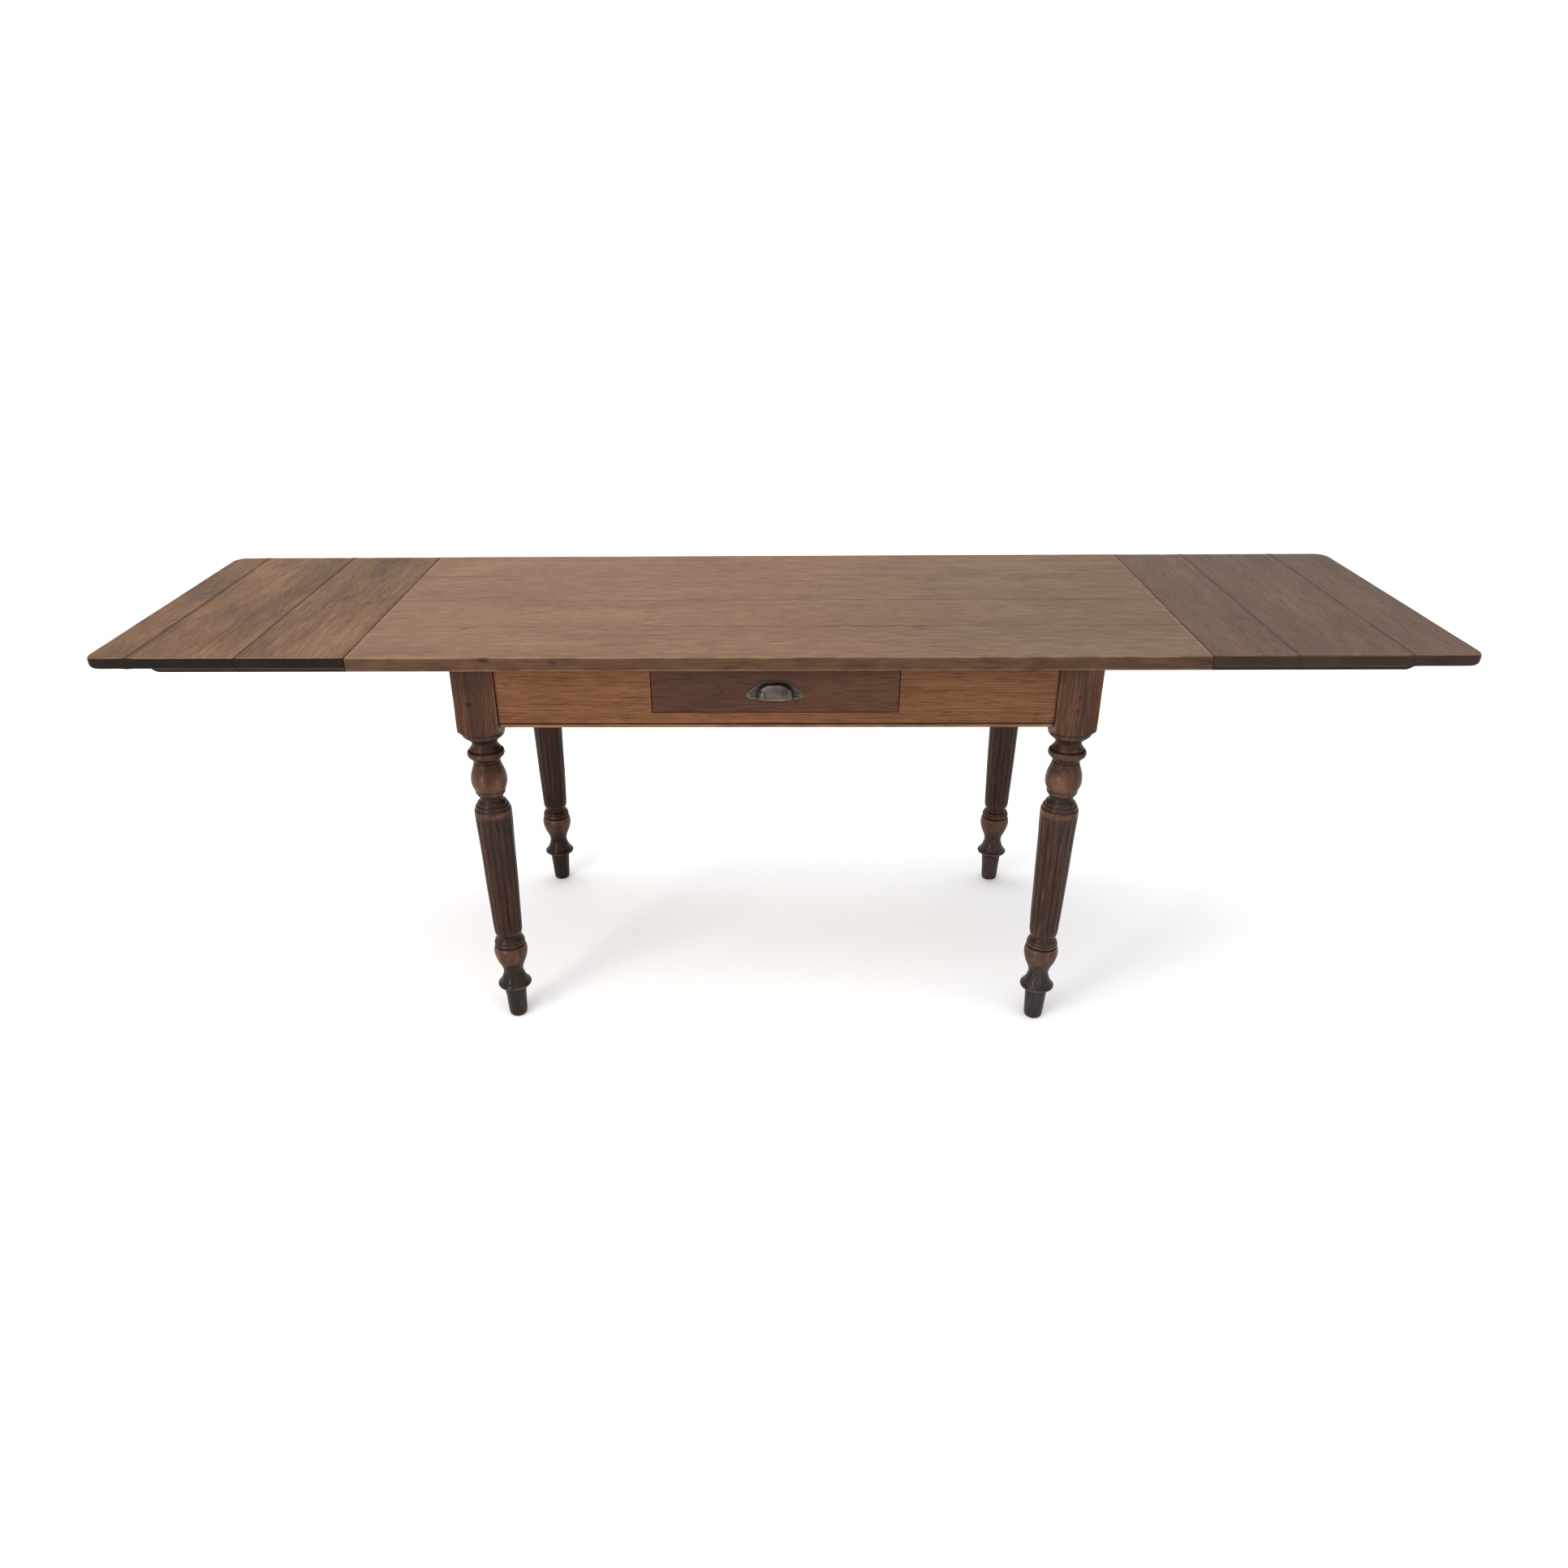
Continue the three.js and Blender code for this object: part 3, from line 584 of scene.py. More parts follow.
def leaf_boards(side, material):
    sign = -1 if side == "left" else 1
    names = sorted(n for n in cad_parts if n.startswith(f"leaf_{side}_board"))
    for number, node in enumerate(names):
        low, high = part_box(node)
        last = number == len(names) - 1
        # only the left leaf's middle joint and its end against the top have opened up
        inner = OPEN_JOINT if sign < 0 and not last else TIGHT_JOINT
        outer = LEAF_END if last else (OPEN_JOINT if sign < 0 and number == 0 else TIGHT_JOINT)
        ends = (inner, outer) if sign > 0 else (outer, inner)
        edges = (*ends, LEAF_SIDE, LEAF_SIDE)
        seams = ["left" if sign > 0 else "right"]
        if not last:
            seams.append("right" if sign > 0 else "left")
        corners = {(sign, -1): LEAF_CORNER, (sign, 1): LEAF_CORNER} if last else None
        seed = (2.3 if sign < 0 else 6.4) + 0.83 * number
        board, wear_and_shading = plank(f"{side}_leaf_{number + 1}", low, high, edges, seed,
                            step=(9 * MM, 12 * MM), corners=corners, seam_sides=seams, nicks=4)
        wear_and_shading = np.where(wear_and_shading < 0, wear_and_shading * (0.8 if inner == OPEN_JOINT else 0.4), wear_and_shading)
        heart = ((low[0] + high[0]) / 2 + 0.06 * math.sin(seed * 7), low[2] - 0.08)
        mark(board, seed, heart, wear_and_shading)
        finish_piece(board, f"{side}_leaf", material, [node])


# ------------------------------------------------------------------ legs

CORNERS = ("front_left", "front_right", "back_left", "back_right")
# the legs' own sizes are millimetres, and heights are above the floor
FLUTES = 16
ROUND = 144  # points round a leg
FLUTE_DEPTH = 1.5
FLUTE_WIDTH = 0.055  # radians
COLUMN = (190, 442)  # where the flutes run
BLOCK = 606  # where the square head starts
BLOCK_WHOLE = 621  # where it has its full section
BLOCK_ROWS = 14
WORN_AND_LIT_BELTS = (  # height, spread and strength of the lighter belts round the leg, rubbed and partly painted highlight
    (508, 26, 0.7),
    (146, 24, 0.55),
    (446, 6, 0.5),
)


def run(stations, spacing=1.2):
    """A smooth curve through (height, radius) stations in millimetres, without overshoot."""
    z, r = (np.array(v, float) for v in zip(*stations))
    slope = np.diff(r) / np.diff(z)
    lean = np.zeros_like(z)
    lean[0], lean[-1] = slope[0], slope[-1]
    same = slope[:-1] * slope[1:] > 0
    lean[1:-1][same] = 2 / (1 / slope[:-1][same] + 1 / slope[1:][same])
    fine = np.linspace(z[0], z[-1], max(3, int((z[-1] - z[0]) / spacing) + 1))
    i = np.clip(np.searchsorted(z, fine, side="right") - 1, 0, len(z) - 2)
    gap = z[i + 1] - z[i]
    t = (fine - z[i]) / gap
    value = (
        (2 * t ** 3 - 3 * t ** 2 + 1) * r[i] + (t ** 3 - 2 * t ** 2 + t) * gap * lean[i]
        + (3 * t ** 2 - 2 * t ** 3) * r[i + 1] + (t ** 3 - t ** 2) * gap * lean[i + 1]
    )
    return list(zip(fine, value))


def swelling(low, peak, high, neck, widest, steps):
    """A turned ring or bulb: two quarter ellipses that meet at its widest point."""
    points = []
    for k in range(steps + 1):
        angle = math.pi * k / steps - math.pi / 2
        reach = (peak - low) if angle < 0 else (high - peak)
        points.append((peak + reach * math.sin(angle), neck + (widest - neck) * math.cos(angle)))
    return points


TURNING = (
    run([(0, 14.2), (1.5, 16), (5, 17), (12, 17.8), (28, 18.6), (44, 19.5), (62, 20.8)], 1.8)
    + run([(64, 21.4), (66, 22.6), (68, 25.4), (69.5, 29.2), (71, 31.2), (72.8, 31.9), (74.5, 31.4),
           (76, 29.6), (78.5, 27.4), (82, 25.2), (87, 22.9), (93, 20.7), (98, 19.3), (102, 18.8),
           (106, 19), (111, 20.1), (117, 22), (123, 24.8), (129, 27.3), (135, 29.2), (141, 30.7),
           (147, 31.4), (151, 31.5), (156, 30.7), (160, 29.4), (162, 28.2)], 1.4)
    + run([(162.6, 26.2), (164.2, 26)], 1)
    + swelling(164.8, 168, 171, 26.8, 28.8, 6)
    + run([(171.4, 27), (172.6, 27.3), (174.5, 27), (176.5, 25), (179, 23), (182, 21.9), (185, 21.9),
           (187.4, 22.9)])
    + run([(188.4, 24.6), (190.5, 25.4), (196, 26), (216, 26.9), (240, 27.7), (300, 29.5),
           (360, 30.9), (400, 32), (428, 33.1), (440, 33.4)], 5)
    + run([(440.6, 33.5), (447, 33.4), (450.5, 33), (453, 32)])
    + run([(453.6, 30.7), (456, 30.6), (458.5, 30), (460.4, 28.8)])
    + run([(461, 27.4), (463, 27.1), (465.2, 26), (467.2, 24.2)])
    + run([(469, 22.2), (472, 21.1), (475, 20.9), (477.5, 21.4)])
    + run([(478.2, 22.8), (479.6, 23.5), (481, 23.6)], 1)
    + run([(481.6, 25), (484, 26.6), (487, 27.2), (489.5, 26.9)], 1)
    + run([(490.2, 27.3), (494, 29), (499, 30.7), (504, 31.8), (509, 32), (514, 31.6), (520, 30.6),
           (527, 28.5), (534, 26), (540, 24.1), (543, 23.4)], 1.6)
    + run([(543.6, 22.5), (545.5, 22.4)], 1)
    + run([(546.2, 24.2), (549, 25.3), (552, 27.8), (554.5, 30.6), (557, 32.3), (560, 32.9),
           (563, 32.2), (565, 31), (566.5, 29.2)], 1)
    + run([(567, 27.2), (568.4, 27)], 1)
    + run([(569, 27.4), (571, 26.5), (573, 24.7), (576, 23.2), (580, 22.2), (584, 23)])
    + run([(584.6, 24.6), (587, 26.8), (590, 30.4), (593, 34), (595.5, 36.4), (598, 37.6),
           (603, 38.6)])
    + run([(603.6, 40.4), (605.5, 43), (608, 46.4), (611, 49.2), (615, 50.6), (620, 51.2)], 1.5)
)


def leg(corner, material):
    node = f"leg_{corner}"
    low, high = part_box(node)
    cx, cy = (low[0] + high[0]) / 2, (low[1] + high[1]) / 2
    half = (high[0] - low[0]) / 2 / MM
    seed = 11.3 + 1.37 * CORNERS.index(corner)
    # in the head the turned radius lies outside the square, so the square alone shapes it
    head = np.linspace(BLOCK_WHOLE, high[2] / MM, BLOCK_ROWS)
    heights, radii = np.array(TURNING + [(h, 60.0) for h in head]).T
    angles = np.arange(ROUND) * 2 * math.pi / ROUND
    turn = np.tile(angles, (len(heights), 1))
    z = np.repeat(heights[:, None], ROUND, 1)

    # flutes with run-out ends, cut a little deeper and shallower by hand
    start, end = COLUMN
    window = np.clip((z - start - 4) / 9, 0, 1) * np.clip((end - 3 - z) / 9, 0, 1)
    window = np.sin(window * math.pi / 2)
    pitch = 2 * math.pi / FLUTES
    off = np.abs((turn / pitch + 0.5) % 1 - 0.5) * pitch
    which = np.round(turn / pitch) % FLUTES
    depth = FLUTE_DEPTH * (1 + 0.25 * np.sin(which * 2.7 + seed) + 0.15 * np.sin(z / 31 + which * 1.9))
    groove = np.exp(-((off / FLUTE_WIDTH) ** 2)) * window
    turned = radii[:, None] - depth * groove
    turned = turned + 0.12 * np.sin(3 * turn + z / 40 + seed) + 0.1 * np.sin(z / 17 + seed * 3)

    # the square head, its arrises worn round
    flat = np.maximum(np.abs(np.cos(turn)), np.abs(np.sin(turn)))
    rubbed = 0.9 + 0.5 * np.sin(z / 23 + np.round(turn / (math.pi / 2)) * 2.1 + seed)
    square = np.minimum(half / flat, half * math.sqrt(2) - rubbed)
    size = np.minimum(turned, square) * MM
    points = np.stack([cx + size * np.cos(turn), cy + size * np.sin(turn), z * MM], 2).reshape(-1, 3)

    faces = skin(len(heights), ROUND)
    faces += [range(ROUND)[::-1], range(len(points) - ROUND, len(points))]
    thing = new_object(f"turned_leg_{corner}", points, faces, 50)

    # lighter on the proud rings, flute ridges and block edges, rubbed and partly painted highlight;
    # darker in the quirks and flutes, partly dirt and partly painted shade
    smooth = np.array([radii[np.abs(heights - h) < 7].mean() for h in heights])
    proud = np.clip((np.minimum(radii, 51) - np.minimum(smooth, 51)) / 2.2, -1, 1)[:, None]
    wear_and_shading = np.where(proud < 0, proud, proud * 0.55) * np.ones_like(turn)
    wear_and_shading = wear_and_shading - groove * 0.6 + 0.15 * window * (off > 0.12)
    for middle, spread, amount in WORN_AND_LIT_BELTS:
        wear_and_shading = wear_and_shading + amount * np.exp(-(((z - middle) / spread) ** 2))
    at_edge = np.exp(-((np.abs(np.abs(np.cos(turn)) - math.sqrt(0.5)) / 0.03) ** 2))
    wear_and_shading = np.where(z > BLOCK, at_edge * 0.95, wear_and_shading)
    # painted shade: the two faces that the rails run into are darkened and made duller
    inwards = np.maximum(np.cos(turn) * -np.sign(cx), np.sin(turn) * -np.sign(cy))
    wear_and_shading = np.where((z > BLOCK - 3) & (inwards > 0.75), -0.8, wear_and_shading)
    heart = (cx + 0.021 * math.cos(seed * 3), cy + 0.024 * math.sin(seed * 5))
    mark(thing, seed, heart, wear_and_shading.ravel())
    finish_piece(thing, "frame", material, [node])


PEG_SIDES = 11
# where along the peg each ring lies and how wide it is, as shares of its half length and radius
PEG_RINGS = ((-1.0, 0.9), (0.9, 0.98), (0.965, 0.93), (0.99, 0.7), (1.0, 0.3))


def peg_heads(corner, material):
    """Hand-cut pegs, a little proud of the leg and domed by wear."""
    names = sorted(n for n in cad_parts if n.startswith(f"peg_{corner}"))
    points, faces, wear_and_shading = [], [], []
    for number, node in enumerate(names):
        low, high = (Vector(v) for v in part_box(node))
        centre = (low + high) / 2
        size = high - low
        axis = 0 if size[0] > size[1] else 1
        sign = 1 if centre[axis] > 0 else -1
        half_length, radius = size[axis] / 2, size[2] / 2
        base = len(points)
        for reach, share in PEG_RINGS:
            for k in range(PEG_SIDES):
                angle = 2 * math.pi * k / PEG_SIDES + number
                uneven = 0.93 + 0.07 * math.sin(3 * angle + number * 2.2)
                p = Vector(centre)
                p[axis] += sign * half_length * reach
                p[1 - axis] += radius * share * uneven * math.cos(angle)
                p[2] += radius * share * uneven * math.sin(angle)
                points.append(p)
                wear_and_shading.append(-0.6 if share > 0.9 and reach > 0.8 else 0.2)
        faces += skin(len(PEG_RINGS), PEG_SIDES, base)
        faces += [range(base, base + PEG_SIDES), range(len(points) - PEG_SIDES, len(points))]
    thing = new_object(f"pegs_{corner}", points, faces, 50)
    mark(thing, 2.2 + len(corner) * 0.3, wear_and_shading=wear_and_shading)
    finish_piece(thing, "frame", material, names)


# ------------------------------------------------------------------ rails

RAIL_THICK = 22 * MM
RAIL_STEP = 30 * MM  # between points along it
BEAD = 3.5 * MM
BEAD_STEPS = 12
FIT = 0.3 * MM  # the gap round a joint
JOINT_DIRT_AND_SHADE = 6 * MM  # how far dirt and a painted shadow from the leg reach along the rail


def beaded_rail(name, node, spans, shelf, place, material, seed):
    """A rail swept along its length. spans are (start, end, whole) stretches: whole ones reach the
    rail's top and the others stop at the shelf level. place turns (out, along, z) into a point."""
    low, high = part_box(node)
    thick, bottom, top = RAIL_THICK, low[2], high[2]
    chain = [(0, shelf, 0.0), (0, bottom + 1.5 * MM, 0.2), (1.2 * MM, bottom, 0.4)]
    # the bead's front is rubbed lighter and its upper side painted darker as shade
    for k in range(BEAD_STEPS + 1):
        angle = math.radians(-90 + 180 * k / BEAD_STEPS)
        out = thick - BEAD + BEAD * math.cos(angle)
        z = bottom + BEAD + BEAD * math.sin(angle)
        chain.append((out, z, 0.8 * math.cos(angle) - 1.5 * max(0.0, math.sin(angle) - 0.35)))
    quirk = bottom + 2 * BEAD
    # the quirk is darkened, partly dirt and partly painted shade
    chain += [
        (thick - BEAD, quirk + 0.9 * MM, -1.0),
        (thick - 1.6 * MM, quirk + 1.5 * MM, -0.9),
        (thick - 0.4 * MM, quirk + 1.9 * MM, 0.3),
        (thick, quirk + 2.9 * MM, 0.25),
        (thick, quirk + 8 * MM, 0.0),
        (thick, shelf, 0.0),
    ]
    # painted shadow under the top's overhang: the rail darkens towards its top edge
    crown = [
        (thick, top - 12 * MM, 0.0),
        (thick, top - 5 * MM, -0.35),
        (thick, top, -0.8),
        (0, top, 0.0),
    ]
    ring = chain + crown
    stations, whole = [], []
    for start, end, full in spans:
        count = max(1, round((end - start) / RAIL_STEP))
        lines = list(np.linspace(start, end, count + 1))
        if start == spans[0][0]:
            lines[1:1] = [start + JOINT_DIRT_AND_SHADE / 2, start + JOINT_DIRT_AND_SHADE]
        if end == spans[-1][1]:
            lines[-1:-1] = [end - JOINT_DIRT_AND_SHADE, end - JOINT_DIRT_AND_SHADE / 2]
        stations += lines[:-1]
        whole += [full] * (len(lines) - 1)
    stations.append(spans[-1][1])
    points, wear_and_shading = [], []
    for at in stations:
        sway = 0.15 * MM * float(ripple(np.array([at]), seed, 4, 1.5)[0])
        # next to a leg the rail is darkened: dirt in the joint and the leg's painted shadow
        joint = max(0.0, 1 - min(at - stations[0], stations[-1] - at) / JOINT_DIRT_AND_SHADE)
        for out, z, rub_and_shade in ring:
            points.append(place(out - (abs(sway) if out > 0 else 0), at, z))
            wear_and_shading.append(rub_and_shade * (1 - joint) - 0.9 * joint)
    size, last = len(ring), len(chain) - 1
    faces = []
    for step, full in enumerate(whole):
        a, b = step * size, (step + 1) * size
        around = [*range(size if full else last + 1), 0]
        faces += [(a + p, a + q, b + q, b + p) for p, q in zip(around, around[1:])]
    for step, (before, after) in enumerate(zip([None, *whole], [*whole, None])):
        a = step * size
        if before is None or after is None:
            faces.append(range(a, a + (size if before or after else last + 1)))
        elif before != after:
            faces.append([*range(a + last, a + size), a])
    thing = new_object(name, points, faces)
    mark(thing, seed, wear_and_shading=wear_and_shading)
    with editing(thing.data) as work:
        bmesh.ops.delete(work, geom=[v for v in work.verts if not v.link_faces], context="VERTS")
    finish_piece(thing, "frame", material, [node])


def rails(materials):
    drawer_low, drawer_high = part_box("drawer_front")
    opening = drawer_high[0] + 1 * MM
    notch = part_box("bearer_left_back")[0]
    edge = notch[1] - 0.7 * MM
    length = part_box("leg_front_right")[0][0] - FIT
    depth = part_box("leg_back_right")[0][1] - FIT
    plain = [(-length, length, True)]
    opened = [(-length, -opening, True), (-opening, opening, False), (opening, length, True)]
    notched = [(-depth, -edge, False), (-edge, edge, True), (edge, depth, False)]
    shelf = drawer_low[2] - 0.8 * MM
    for node, sign, spans in (("front_rail", -1, opened), ("back_rail", 1, plain)):
        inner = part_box(node)[0 if sign > 0 else 1][1]
        beaded_rail(f"beaded_{node}", node, spans, shelf,
                    lambda out, along, z: (along, inner + sign * out, z), materials["X"], 1.9 + sign)
    shelf = notch[2] - FIT
    for node, sign in (("end_rail_left", -1), ("end_rail_right", 1)):
        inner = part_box(node)[0 if sign > 0 else 1][0]
        beaded_rail(f"beaded_{node}", node, notched, shelf,
                    lambda out, along, z: (inner + sign * out, along, z), materials["Y"], 4.4 + sign)


# ------------------------------------------------------------------ bearers under the leaves

NOSE = 27 * MM  # length of the rounded outer end
NOSE_STEPS = 14
TOP_GAP = 0.6 * MM  # between a bearer and the centre top


def bearers(side, material, steel):
    sign = -1 if side == "left" else 1
    for where in ("front", "back"):
        node = f"bearer_{side}_{where}"
        low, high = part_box(node)
        inner, outer = (low[0], high[0]) if sign > 0 else (high[0], low[0])
        top_low, top_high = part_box("top_board_1")
        step, under_top = sign * (top_high[0] + TOP_GAP), top_low[2] - TOP_GAP
        bottom, upper = low[2], high[2]
        outline = [(inner, under_top), (step, under_top), (step, upper)]
        for k in range(NOSE_STEPS + 1):
            angle = math.radians(-90 * k / NOSE_STEPS)
            outline.append((outer - sign * NOSE * (1 - math.cos(angle)),
                            upper + (upper - bottom) * math.sin(angle)))
        outline.append((inner, bottom))
        count = len(outline)
        points = [(x, y, z) for y in (low[1], high[1]) for x, z in outline]
        faces = [range(count), range(count, 2 * count)[::-1], *skin(2, count)]
        thing = settle(bevelled(new_object(f"{side}_bearer_{where}", points, faces), 1.8 * MM, 3, 50))
        seed = 8.2 + sign + (0.4 if where == "back" else 0)
        mark(thing, seed, ((low[1] + high[1]) / 2, bottom - 0.03))
        finish_piece(thing, f"{side}_leaf", material, [node])

    # countersunk screws up through the bearers into each leaf board that they reach under
    heads = []
    flat_end = abs(outer) - NOSE - 8 * MM
    boards = sorted(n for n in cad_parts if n.startswith(f"leaf_{side}_board"))
    for where in ("front", "back"):
        low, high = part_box(f"bearer_{side}_{where}")
        for number, board in enumerate(boards):
            board_low, board_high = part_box(board)
            x = (board_low[0] + board_high[0]) / 2
            if number == len(boards) - 1:
                x = board_low[0] + 22 * MM if sign > 0 else board_high[0] - 22 * MM
            if abs(x) < flat_end:
                heads.append(((x, (low[1] + high[1]) / 2, low[2] - 0.2 * MM), (0, 0, -1)))
    screws(f"{side}_leaf_screws", heads, 4.2 * MM, 0.5 * MM, f"{side}_leaf", steel, [])


SCREW_SIDES = 28
SLOT_WIDTH = 0.13  # half of it, as a share of the head's radius
SLOT_REACH = 0.6  # radius of the ring that the slot is cut in, also as a share
SLOT_DEPTH = 0.9 * MM


def screws(name, heads, radius, dome, body, material, replaced):
    """Slotted screw heads: heads are (centre of the head's face, direction it faces)."""
    parts = bmesh.new()
    for number, (place, facing) in enumerate(heads):
        head = bmesh.new()
        dots = []
        rings = [(1.0, -1.2 * MM), (1.0, 0.0), (0.93, 0.5 * dome), (SLOT_REACH, 0.85 * dome)]
        for share, lift in rings:
            for k in range(SCREW_SIDES):
                angle = 2 * math.pi * k / SCREW_SIDES
                dots.append(head.verts.new((radius * share * math.cos(angle),
                                            radius * share * math.sin(angle), lift)))
        for face in skin(len(rings), SCREW_SIDES):
            head.faces.new([dots[i] for i in face])
        head.faces.new(dots[:SCREW_SIDES][::-1])
        # the slot is a straight trench across the crown
        crown, half = dots[-SCREW_SIDES:], radius * SLOT_WIDTH
        ends = radius * SLOT_REACH * math.sqrt(1 - (SLOT_WIDTH / SLOT_REACH) ** 2)
        corners = {}
        for sx in (-1, 1):
            for sy in (-1, 1):
                for at_top in (True, False):
                    level = lift if at_top else lift - SLOT_DEPTH
                    corners[sx, sy, at_top] = head.verts.new((sx * ends, sy * half, level))
        arcs = {}
        for sy in (1, -1):
            arcs[sy] = sorted((v for v in crown if v.co.y * sy > half),
                              key=lambda v: math.atan2(v.co.y, v.co.x))
            head.faces.new([corners[sy, sy, True], *arcs[sy], corners[-sy, sy, True]])
        for sx in (-1, 1):
            near = sorted((v for v in crown if abs(v.co.y) <= half and v.co.x * sx > 0),
                          key=lambda v: v.co.y)
            first, second = (min(arcs[sy], key=lambda v: abs(v.co.y) - v.co.x * sx) for sy in (-1, 1))
            head.faces.new([corners[sx, -1, True], first, *near, second, corners[sx, 1, True],
                            corners[sx, 1, False], corners[sx, -1, False]])
        for sy in (-1, 1):
            head.faces.new([corners[-1, sy, True], corners[1, sy, True],
                            corners[1, sy, False], corners[-1, sy, False]])
        head.faces.new([corners[-1, -1, False], corners[1, -1, False],
                        corners[1, 1, False], corners[-1, 1, False]])
        bmesh.ops.recalc_face_normals(head, faces=head.faces)
        turn = Matrix.Rotation(0.7 + 1.3 * number, 4, "Z")
        aim = Vector(facing).to_track_quat("Z", "X").to_matrix().to_4x4()
        bmesh.ops.transform(head, matrix=Matrix.Translation(place) @ aim @ turn, verts=head.verts)
        piece = bpy.data.meshes.new("screw")
        head.to_mesh(piece)
        head.free()
        parts.from_mesh(piece)
        bpy.data.meshes.remove(piece)
    mesh = bpy.data.meshes.new(name)
    parts.to_mesh(mesh)
    parts.free()
    shade(mesh, 30)
    thing = placed(name, mesh)
    mark(thing, 1.0, wear_and_shading=np.full(len(mesh.vertices), 0.35))
    finish_piece(thing, body, material, replaced)


# ------------------------------------------------------------------ drawer and its pull

DRAWER_SEED = 5.5


def drawer(front_oak, inner_x, inner_y):
    low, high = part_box("drawer_front")
    board, wear_and_shading = plank("drawer_face", low, high, (1.2 * MM, 1.2 * MM, 1.2 * MM, 0.6 * MM),
                        DRAWER_SEED, step=(12 * MM, 8 * MM), hollow=0)
    mark(board, DRAWER_SEED, (low[1] + 0.07, low[2] - 0.05), wear_and_shading * 0.5)
    finish_piece(board, "drawer", front_oak, ["drawer_front"])
    for node, material, seed in (("drawer_side_left", inner_y, 0.4), ("drawer_side_right", inner_y, 1.5),
                                 ("drawer_back", inner_x, 2.6), ("drawer_bottom", inner_x, 3.7)):
        thing = eased_copy(node, f"{node}_board", 0.7 * MM)
        mark(thing, seed, (0.02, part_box(node)[0][2] - 0.05))
        finish_piece(thing, "drawer", material, [node])


CUP_HALF = 31.5 * MM
CUP_WALL = 1.7 * MM
CUP_ACROSS = 48  # faces from one end of the lip to the other
CUP_UP = 16  # and from the lip to the crown
CUP_PLAN = 0.71  # powers that square off the dome: 1 leaves an ellipse
CUP_DOME = 0.8
CUP_FLARE = 0.03  # how much the lip turns out, as a share of the reach
PLATE_THICK = 1.6 * MM
PLATE_HALF_OUTLINE = (  # right half from the top, in mm: across, and up from the cup's crown
    (19.5, 1), (47.2, -19), (48, -21), (47.4, -24), (44, -27.2), (38, -29),
)


def cup_pull(material, steel):
    low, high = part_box("drawer_pull")
    back = high[1]
    plate_front = back - PLATE_THICK
    reach = plate_front - low[1]
    lip, crown = low[2] + 2 * MM, high[2] - 1 * MM
    points, wear_and_shading = [], []
    for row in range(CUP_UP + 1):
        tilt = math.pi / 2 * row / CUP_UP
        spread = max(math.cos(tilt), 0.0) ** CUP_DOME
        flare = (1 + CUP_FLARE * math.exp(-row / 0.8)) / (1 + CUP_FLARE)
        for k in range(CUP_ACROSS + 1):
            turn = math.pi * k / CUP_ACROSS
            side = math.copysign(abs(math.cos(turn)) ** CUP_PLAN, math.cos(turn))
            depth = math.sin(turn) ** CUP_PLAN if 0 < k < CUP_ACROSS else 0.0
            points.append((
                CUP_HALF * side * spread,
                plate_front + 0.4 * MM - (reach - 0.2 * MM) * depth * spread * flare,
                lip + (crown - lip) * math.sin(tilt) ** CUP_DOME,
            ))
            # the lip rubbed bright, and a band round the middle of the dome painted bright as a
            # highlight
            wear_and_shading.append(math.exp(-row / 1.2) * 0.45 + 0.3 * math.exp(-((row - 9) / 4) ** 2))
    cup = new_object("pull_cup", points, skin(CUP_UP + 1, CUP_ACROSS + 1, closed=False), 60)
    mark(cup, wear_and_shading=wear_and_shading)
    with editing(cup.data) as work:
        bmesh.ops.remove_doubles(work, verts=work.verts, dist=1e-6)
        bmesh.ops.recalc_face_normals(work, faces=work.faces)
        if sum(f.normal.y for f in work.faces) > 0:
            bmesh.ops.reverse_faces(work, faces=work.faces)
    wall = cup.modifiers.new("wall", "SOLIDIFY")
    wall.thickness = CUP_WALL
    wall.offset = -1
    settle(bevelled(cup, 0.5 * MM, 2, 55))
    finish_piece(cup, "drawer", material, ["drawer_pull"])

    # the plate behind the cup, with a fine raised rim
    outline = [(-x, z) for x, z in PLATE_HALF_OUTLINE] + list(PLATE_HALF_OUTLINE[::-1])
    work = bmesh.new()
    rim = [work.verts.new((x * MM, back - 0.1 * MM, crown + z * MM)) for x, z in outline]
    base = work.faces.new(rim)
    front = bmesh.ops.extrude_face_region(work, geom=[base])["geom"]
    face = next(f for f in front if isinstance(f, bmesh.types.BMFace))
    moved = [v for v in front if isinstance(v, bmesh.types.BMVert)]
    bmesh.ops.translate(work, verts=moved, vec=(0, plate_front - back + 0.1 * MM, 0))
    bmesh.ops.inset_region(work, faces=[face], thickness=0.8 * MM)
    bmesh.ops.inset_region(work, faces=[face], thickness=0.4 * MM)
    bmesh.ops.translate(work, verts=list(face.verts), vec=(0, 0.7 * MM, 0))
    bmesh.ops.recalc_face_normals(work, faces=work.faces)
    mesh = bpy.data.meshes.new("pull_plate")
    work.to_mesh(mesh)
    work.free()
    plate = settle(bevelled(placed("pull_plate", mesh), 0.35 * MM, 2, 30))
    # the rim's front bright, rubbed and partly painted highlight; the rest tarnished
    rim_wear_and_highlight = [0.95 if v.co.y < plate_front + 0.25 * MM else -1.0 for v in plate.data.vertices]
    mark(plate, wear_and_shading=rim_wear_and_highlight)
    finish_piece(plate, "drawer", material, [])

    nodes = ["pull_screw_left", "pull_screw_right"]
    heads = []
    for node in nodes:
        a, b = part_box(node)
        heads.append((((a[0] + b[0]) / 2, plate_front + 0.2 * MM, (a[2] + b[2]) / 2), (0, -1, 0)))
    screws("pull_screws", heads, 3.1 * MM, 1.3 * MM, "drawer", steel, nodes)


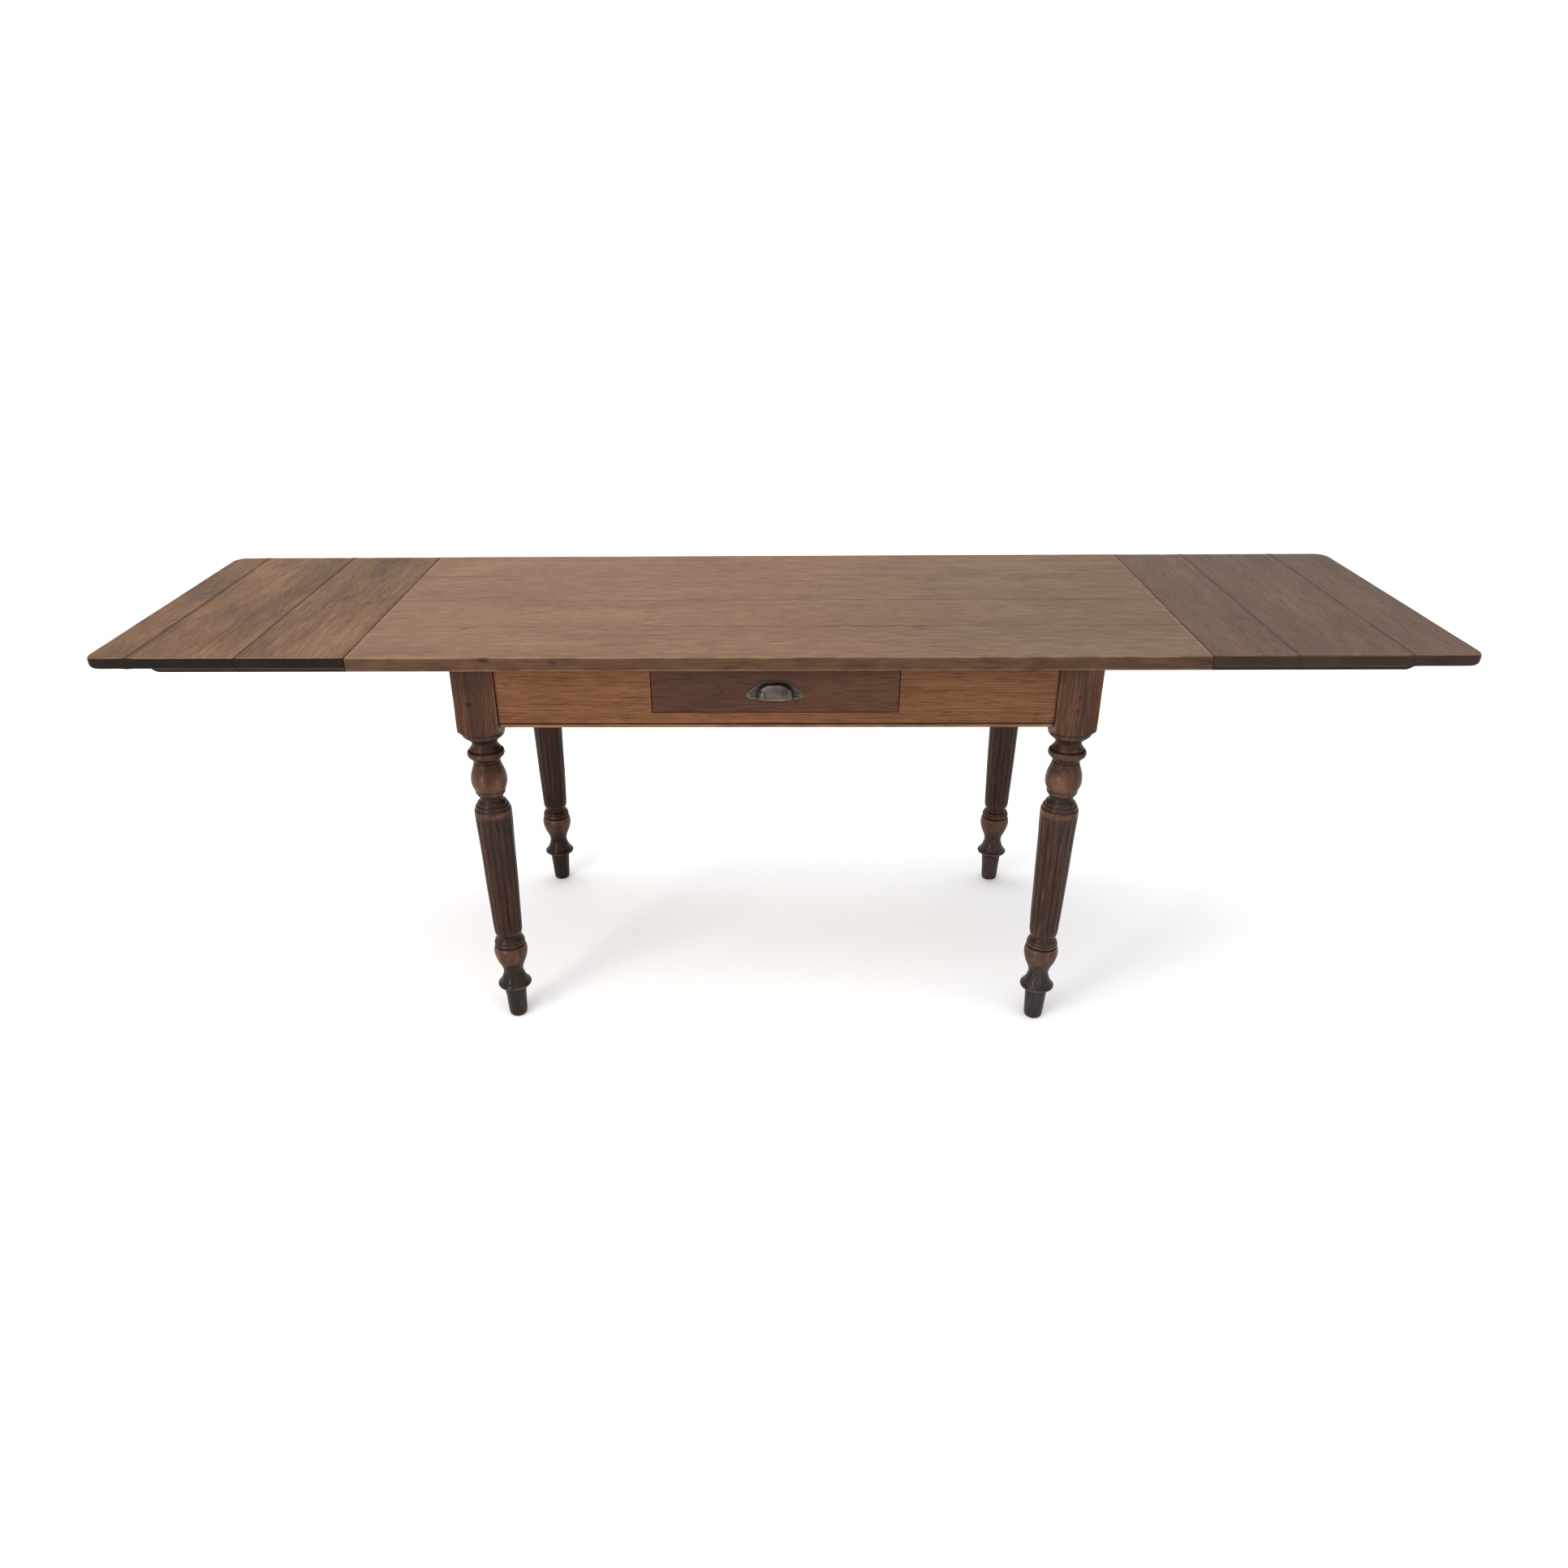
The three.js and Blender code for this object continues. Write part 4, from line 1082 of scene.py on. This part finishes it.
def carry_over(starts, material):
    """Hidden CAD pieces keep their shape and get a real material."""
    for node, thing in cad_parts.items():
        if node.startswith(starts):
            for slot in thing.material_slots:
                slot.material = material


# ------------------------------------------------------------------ build

aim_camera()
studio()
floor = new_object("floor", [(-30, -30, 0), (30, -30, 0), (30, 30, 0), (-30, 30, 0)], [(0, 1, 2, 3)])
floor.data.materials.append(plain_floor())

top_oak = oak(
    "top_oak", "X", (78, 57, 41), (104, 77, 56), (126, 96, 72), (52, 38, 30),
    streaks=0.13, blotches=0.2, dashes=0.74, rings=0.09, flecks=0.34, pores=0.38,
    # painted shade darkens the upright edges; the shift makes the top darker and cooler to the right,
    # partly the boards' own tone and partly painted falloff of the light
    rough=(0.46, 0.62), worn=(138, 108, 82), side_shade=(0.4, 0.33, 0.33),
    shifts=[("X", -0.1, 0.62, (0.76, 0.84, 0.93))],
    knots=[
        ((-0.48, -0.325, 0.746), (9 * MM, 6 * MM, 5 * MM)),
        ((-0.367, -0.325, 0.741), (7 * MM, 5 * MM, 4 * MM)),
        ((-0.545, -0.17, 0.75), (7 * MM, 4 * MM, 9 * MM)),
        ((-0.28, -0.045, 0.75), (9 * MM, 1.6 * MM, 9 * MM)),
    ],
)
# painted shade darkens the leaves' upright edges
left_oak = oak(
    "left_leaf_oak", "Y", (57, 39, 26), (89, 62, 39), (113, 82, 55), (32, 24, 20),
    streaks=0.2, blotches=0.46, dashes=0.55, rings=0.14, flecks=0.12, pores=0.4,
    rough=(0.46, 0.62), worn=(126, 96, 70), side_shade=(0.6, 0.55, 0.55),
)
# darker and greyer than the left leaf: partly its own wood, partly painted falloff of the light
right_oak = oak(
    "right_leaf_oak", "Y", (61, 46, 36), (78, 58, 44), (93, 71, 55), (56, 44, 38),
    streaks=0.2, blotches=0.32, dashes=0.5, rings=0.14, flecks=0.12, pores=0.38,
    rough=(0.46, 0.62), worn=(110, 90, 72), side_shade=(0.76, 0.72, 0.68),
)
rail_oak = {
    axis: oak(
        f"rail_oak_{axis.lower()}", axis, (63, 38, 22), (96, 61, 38), (115, 78, 51),
        (46, 31, 22), streaks=0.26, blotches=0.28, dashes=0.5, rings=0.2, ring_width=4.2 * MM,
        pores=0.4, flecks=0.2, rough=(0.44, 0.6), worn=(136, 102, 74),
        # the front rail darker and cooler to the right: partly its own tone, partly painted falloff of
        # the light
        shifts=[("X", 0, 0.45, (0.9, 0.93, 0.97))] if axis == "X" else (),
    )
    for axis in "XY"
}
leg_oak = oak(
    "leg_oak", "Z", (23, 12, 6), (41, 21, 10), (63, 37, 22), (30, 21, 17),
    streaks=0.42, blotches=0.4, dashes=0.55, rings=0.16, pores=0.5, rough=(0.34, 0.48), sheen=0.03,
    worn=(110, 73, 55), polish=0.24,
    # the head lighter and the foot bluer, partly standing in for light falling off under the top; the
    # right-hand legs lighter and bluer as painted light; the back legs darker as painted shade
    shifts=[
        ("Z", 0.24, 0.03, (0.86, 1.5, 2.6)),
        ("Z", 0.56, 0.64, (1.42, 1.3, 1.05)),
        ("X", -0.1, 0.5, (1.6, 2.05, 2.9)),
        ("Y", 0.0, 0.2, (0.84, 0.74, 0.62)),
    ],
    knots=[
        ((-0.517, -0.309, 0.662), (7 * MM, 6 * MM, 5 * MM)),
    ],
)
peg_oak = oak(
    "peg_oak", "X", (34, 23, 17), (50, 34, 26), (66, 47, 36), (42, 29, 22),
    rough=(0.42, 0.56),
)
drawer_oak = oak(
    "drawer_oak", "X", (46, 28, 19), (63, 40, 28), (79, 52, 37), (40, 27, 21),
    streaks=0.22, blotches=0.4, dashes=0.55, rings=0.14, pores=0.45, rough=(0.44, 0.6),
    worn=(98, 70, 54),
)
bearer_oak = oak(
    "bearer_oak", "X", (26, 20, 17), (42, 32, 27), (60, 47, 39), (30, 23, 20),
    streaks=0.4, rough=(0.55, 0.72),
)
plain_wood = {
    axis: oak(
        f"plain_wood_{axis.lower()}", axis, (84, 62, 44), (118, 91, 67),
        (144, 116, 88), (90, 66, 47), streaks=0.4, blotches=0.35, rings=0.35,
        ring_width=5 * MM, rough=(0.6, 0.78), pores=0.25,
    )
    for axis in "XY"
}
pewter = old_metal("pewter", (0.036, 0.029, 0.025), (0.23, 0.186, 0.162), 0.2)
dull_steel = old_metal("dull_steel", (0.05, 0.044, 0.04), (0.2, 0.18, 0.16), 0.4)

top_boards(top_oak)
leaf_boards("left", left_oak)
leaf_boards("right", right_oak)
for corner in CORNERS:
    leg(corner, leg_oak)
    peg_heads(corner, peg_oak)
rails(rail_oak)
for side in ("left", "right"):
    bearers(side, bearer_oak, dull_steel)
drawer(drawer_oak, plain_wood["X"], plain_wood["Y"])
cup_pull(pewter, dull_steel)
carry_over(("cross_rail", "drawer_runner", "drawer_stop"), plain_wood["Y"])
carry_over("glue_block", plain_wood["X"])
